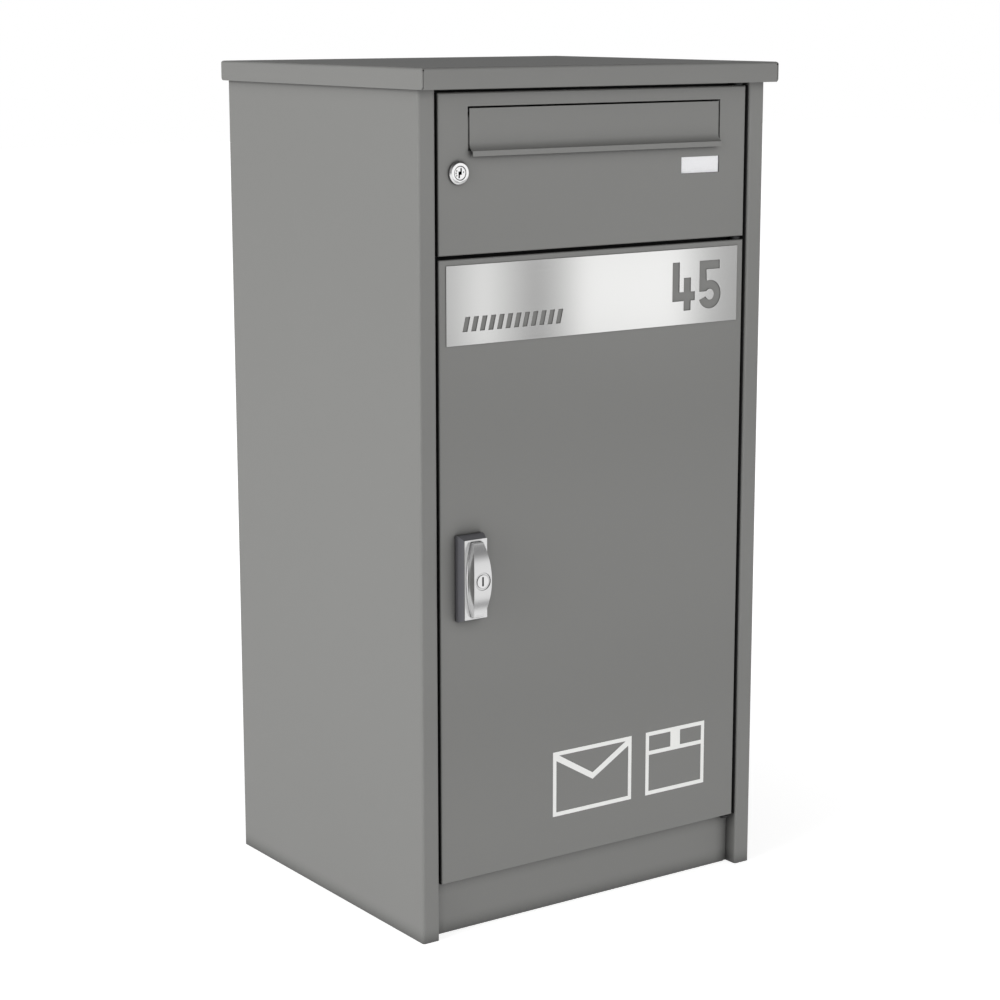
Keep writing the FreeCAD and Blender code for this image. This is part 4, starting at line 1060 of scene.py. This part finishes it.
@dataclass
class Handle:
    """Turning grip: a lens from the front, an arc from the side, its flanks hollowed to a sharp edge."""

    body: str = "handle"
    end_width_mm: float = 14.0
    flank_mm: float = 1.3
    flare_mm: float = 5.0
    end_round_mm: float = 0.6
    lift_mm: float = 5.0
    ring_mm: float = 10.4
    ring_depth_mm: float = 1.1
    bore_mm: float = 7.55
    bore_depth_mm: float = 10.0
    edge_mm: float = 0.35
    end_lowest: float = 0.06
    flare_limit: float = 0.6
    stations: int = 72
    flare_steps: int = 7

    def build(self) -> None:
        """Build the grip and dress the parts behind it."""
        self.grip()
        for name in ("handle_shaft", "latch_cam", "latch_nut"):
            dress_node(name, Slot.ZINC)
        dress_node("handle_lock_plug", Slot.NICKEL)

    def section(
        self, along: float, half_length: float, half_width: float, rise: float
    ) -> list[tuple[float, float]]:
        """Outline of the grip across its length.

        Args:
            along: Distance from the middle, in mm.
            half_length: Half the grip's length, in mm.
            half_width: Half its width at the middle, in mm.
            rise: How far its middle stands proud, in mm.

        Returns:
            Points (across, forward) in mm, round the outline.
        """
        end = self.end_width_mm / 2
        bulge = half_width - end
        side_radius = (half_length**2 + bulge**2) / (2 * bulge)
        foot = math.sqrt(side_radius**2 - along**2) - side_radius + half_width
        crown = rise - self.lift_mm
        crown_radius = (half_length**2 + crown**2) / (2 * crown)
        depth = math.sqrt(crown_radius**2 - along**2) - crown_radius + rise
        to_end = half_length - abs(along)
        if to_end < self.end_round_mm:
            depth *= math.sqrt(max(1 - (1 - to_end / self.end_round_mm) ** 2, self.end_lowest))
        share = depth / rise
        brow = foot - self.flank_mm * share
        flare = min(self.flare_mm, depth * self.flare_limit)
        right = [(foot, 0.0)]
        for step in range(1, self.flare_steps + 1):
            turn = step / self.flare_steps * math.pi / 2
            right.append((brow + (foot - brow) * (1 - math.sin(turn)), flare * (1 - math.cos(turn))))
        right.append((brow, depth))
        return right + [(-across, forward) for across, forward in reversed(right)]

    def grip(self) -> None:
        """Loft the sections, cut the lock's recess and bore, and round the edges."""
        low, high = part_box("handle_bow")
        centre = (low + high) / 2
        half_length = (high.z - low.z) / 2 / MM
        half_width = (high.x - low.x) / 2 / MM
        rise = (high.y - low.y) / MM
        shape = bmesh.new()
        rings = []
        for index in range(self.stations + 1):
            along = -half_length * math.cos(math.pi * index / self.stations)
            outline = self.section(along, half_length, half_width, rise)
            rings.append(
                [
                    shape.verts.new((centre.x + across * MM, high.y - forward * MM, centre.z + along * MM))
                    for across, forward in outline
                ]
            )
        for ring, after in zip(rings, rings[1:]):
            for here, there in zip(range(len(ring)), [*range(1, len(ring)), 0]):
                shape.faces.new((ring[here], ring[there], after[there], after[here]))
        shape.faces.new(rings[0])
        shape.faces.new(rings[-1])
        rough = scratch("handle_grip_rough", shape)
        cutters = []
        place = Matrix.Translation((centre.x, low.y, centre.z)) @ Matrix.Rotation(math.pi / 2, 4, "X")
        for radius, depth in ((self.ring_mm, self.ring_depth_mm), (self.bore_mm, self.bore_depth_mm)):
            cutter = bmesh.new()
            bmesh.ops.create_cone(
                cutter,
                cap_ends=True,
                segments=FULL_ROUND,
                radius1=radius * MM,
                radius2=radius * MM,
                depth=depth * 2 * MM,
                matrix=place,
            )
            cutters.append(scratch("lock_cutter", cutter))
            hole = rough.modifiers.new("lock", "BOOLEAN")
            hole.operation = "DIFFERENCE"
            hole.solver = "EXACT"
            hole.object = cutters[-1]
        round_off(rough, self.edge_mm * MM)
        mesh = shade(baked(rough), CRISP)
        for cutter in cutters:
            bpy.data.objects.remove(cutter)
        keep_piece("handle_grip", mesh, self.body, Slot.CHROME, ("handle_bow",))


# ---------------------------------------------------------------- studio


@dataclass
class Studio:
    """Camera, pale floor, soft lights and the low card that the bright metal reflects."""

    camera_at: Point = (-1.68607, -2.42306, 1.06283)
    camera_turn: Point = (78.48, 0.03, -34.99)
    lens: float = 86.97
    floor_size: float = 30.0
    floor_gap: float = 0.2 * MM
    floor_bounce: float = 0.5
    floor_shade: tuple[float, float] = (0.25, 1.6)
    floor_under: float = 0.75
    sky: Outline = ((0.45, 0.36), (0.9, 0.08))
    card_y: float = -0.45
    card_sides: tuple[float, float] = (-0.35, 0.7)
    band_sides: tuple[float, float] = (-0.05, 0.415)
    band_heights: Outline = ((0.59, 0.0), (0.62, 1.0), (0.79, 1.0), (0.81, 0.0))
    bands: Outline = (
        (0.0, 0.66),
        (0.12, 1.15),
        (0.29, 0.5),
        (0.38, 0.8),
        (0.46, 1.3),
        (0.78, 1.35),
        (0.9, 0.75),
        (1.0, 0.55),
    )
    zones: Outline = (
        (0.12, 1.0),
        (0.16, 0.3),
        (0.2, 0.3),
        (0.24, 0.95),
        (0.48, 0.95),
        (0.52, 0.27),
        (0.81, 0.27),
        (0.83, 1.15),
    )

    def build(self) -> None:
        """Set up the whole studio."""
        self.camera()
        self.floor()
        self.world()
        self.softbox("side_softbox", at=(-3.4, -0.1, 1.4), aim=(-0.25, 0.0, 0.5), size=2.6, power=88.0)
        self.softbox("front_softbox", at=(0.6, -4.2, 1.8), aim=(0.0, -0.2, 0.6), size=3.0, power=60.0)
        self.card()
        bpy.context.scene.view_settings.view_transform = "Standard"

    def camera(self) -> None:
        """Camera at three-quarter view from the left."""
        data = bpy.data.cameras.new("camera")
        data.lens = self.lens
        data.sensor_width = 36.0
        data.clip_start = 0.05
        data.clip_end = 100.0
        camera = bpy.data.objects.new("camera", data)
        camera.location = self.camera_at
        camera.rotation_euler = [math.radians(turn) for turn in self.camera_turn]
        bpy.context.scene.collection.objects.link(camera)
        bpy.context.scene.camera = camera

    def floor(self) -> None:
        """Plain white floor that also glows faintly, so that it stays pale under the box."""
        shape = bmesh.new()
        level = Matrix.Translation((0, 0, -self.floor_gap))
        bmesh.ops.create_grid(shape, size=self.floor_size / 2, matrix=level)
        floor = scratch("studio_floor", shape)
        material = bpy.data.materials.new("studio_floor")
        material.use_nodes = True
        tree = material.node_tree
        shader = tree.nodes["Principled BSDF"]
        shader.inputs["Base Color"].default_value = linear("#d8d8d8")
        shader.inputs["Roughness"].default_value = 0.9
        shader.inputs["Specular IOR Level"].default_value = 0.0
        shader.inputs["Emission Color"].default_value = (1.0, 1.0, 1.0, 1.0)
        place = add_node(tree, "ShaderNodeTexCoord").outputs["Object"]
        away = add_node(tree, "ShaderNodeVectorMath", {"operation": "LENGTH", ("in", 0): place})
        near, far = self.floor_shade
        white = add_node(
            tree,
            "ShaderNodeMapRange",
            {("in", "From Min"): near, ("in", "From Max"): far, ("in", "To Min"): self.floor_under},
            Value=away.outputs["Value"],
        )
        seen = add_node(tree, "ShaderNodeLightPath").outputs["Is Camera Ray"]
        glow = add_node(
            tree,
            "ShaderNodeMix",
            {("in", "Factor"): seen, ("in", "A"): self.floor_bounce, ("in", "B"): white.outputs[0]},
        )
        tree.links.new(glow.outputs[0], shader.inputs["Emission Strength"])
        floor.data.materials.append(material)

    def world(self) -> None:
        """White backdrop, with a grey, darkening sky for everything but the camera."""
        world = bpy.data.worlds.new("studio")
        bpy.context.scene.world = world
        world.use_nodes = True
        tree = world.node_tree
        tree.nodes.clear()
        place = add_node(tree, "ShaderNodeTexCoord").outputs["Generated"]
        height = add_node(tree, "ShaderNodeSeparateXYZ", Vector=place).outputs["Z"]
        sky = self.ramp(tree, height, self.sky)
        dim = add_node(tree, "ShaderNodeBackground", Color=sky, Strength=1.0)
        white = add_node(tree, "ShaderNodeBackground", Color=(1.0, 1.0, 1.0, 1.0), Strength=1.0)
        seen = add_node(tree, "ShaderNodeLightPath").outputs["Is Camera Ray"]
        both = add_node(
            tree,
            "ShaderNodeMixShader",
            {("in", 0): seen, ("in", 1): dim.outputs[0], ("in", 2): white.outputs[0]},
        )
        add_node(tree, "ShaderNodeOutputWorld", Surface=both.outputs[0])

    def softbox(self, name: str, at: Point, aim: Point, size: float, power: float) -> None:
        """Add a square softbox.

        Args:
            name: The lamp's name.
            at: Where it stands.
            aim: What it points at.
            size: Its side, in metres.
            power: Its power, in watts.
        """
        data = bpy.data.lights.new(name, "AREA")
        data.energy = power
        data.size = size
        lamp = bpy.data.objects.new(name, data)
        lamp.location = at
        lamp.rotation_euler = (Vector(aim) - Vector(at)).to_track_quat("-Z", "Y").to_euler()
        lamp.visible_camera = False
        lamp.visible_glossy = False
        bpy.context.scene.collection.objects.link(lamp)

    def card(self) -> None:
        """Reflector card before the doors, seen only in bright metal: level zones, and upright bands."""
        shape = bmesh.new()
        left, right = self.card_sides
        corners = ((left, 0.0), (right, 0.0), (right, 1.0), (left, 1.0))
        shape.faces.new([shape.verts.new((x, self.card_y, z)) for x, z in corners])
        card = scratch("reflector_card", shape)
        material = bpy.data.materials.new("reflector_card")
        material.use_nodes = True
        tree = material.node_tree
        tree.nodes.clear()
        place = add_node(tree, "ShaderNodeTexCoord").outputs["Object"]
        spot = add_node(tree, "ShaderNodeSeparateXYZ", Vector=place)
        first, last = self.band_sides
        share = add_node(
            tree,
            "ShaderNodeMapRange",
            {("in", "From Min"): first, ("in", "From Max"): last},
            Value=spot.outputs["X"],
        )
        bands = self.ramp(tree, share.outputs[0], self.bands)
        zones = self.ramp(tree, spot.outputs["Z"], self.zones)
        mask = self.ramp(tree, spot.outputs["Z"], self.band_heights)
        light = add_node(
            tree,
            "ShaderNodeMix",
            {"data_type": "RGBA", ("in", 0): mask, ("in", 6): zones, ("in", 7): bands},
        )
        glow = add_node(tree, "ShaderNodeEmission", Color=light.outputs[2], Strength=1.0)
        add_node(tree, "ShaderNodeOutputMaterial", Surface=glow.outputs[0])
        card.data.materials.append(material)
        card.visible_camera = False
        card.visible_shadow = False
        card.visible_diffuse = False

    def ramp(self, tree: Tree, share: Socket, stops: Outline) -> Socket:
        """Turn a share into a grey level by a row of stops.

        Args:
            tree: The tree that gets the ramp.
            share: The value to look up.
            stops: Pairs of position and grey level.

        Returns:
            The grey level.
        """
        ramp = add_node(tree, "ShaderNodeValToRGB", Fac=share)
        steps = ramp.color_ramp.elements
        while len(steps) < len(stops):
            steps.new(0.5)
        for step, (position, light) in zip(steps, stops):
            step.position = position
            step.color = (light, light, light, 1.0)
        return ramp.outputs[0]


def main() -> None:
    """Build every sub-assembly, then the studio."""
    logging.basicConfig(level=logging.INFO, format="%(message)s")
    for part in (Cabinet(), LetterDoor(), ParcelDoor(), Handle(), Studio()):
        part.build()
        log.info("%s done", type(part).__name__)


if __name__ == "__main__":
    main()
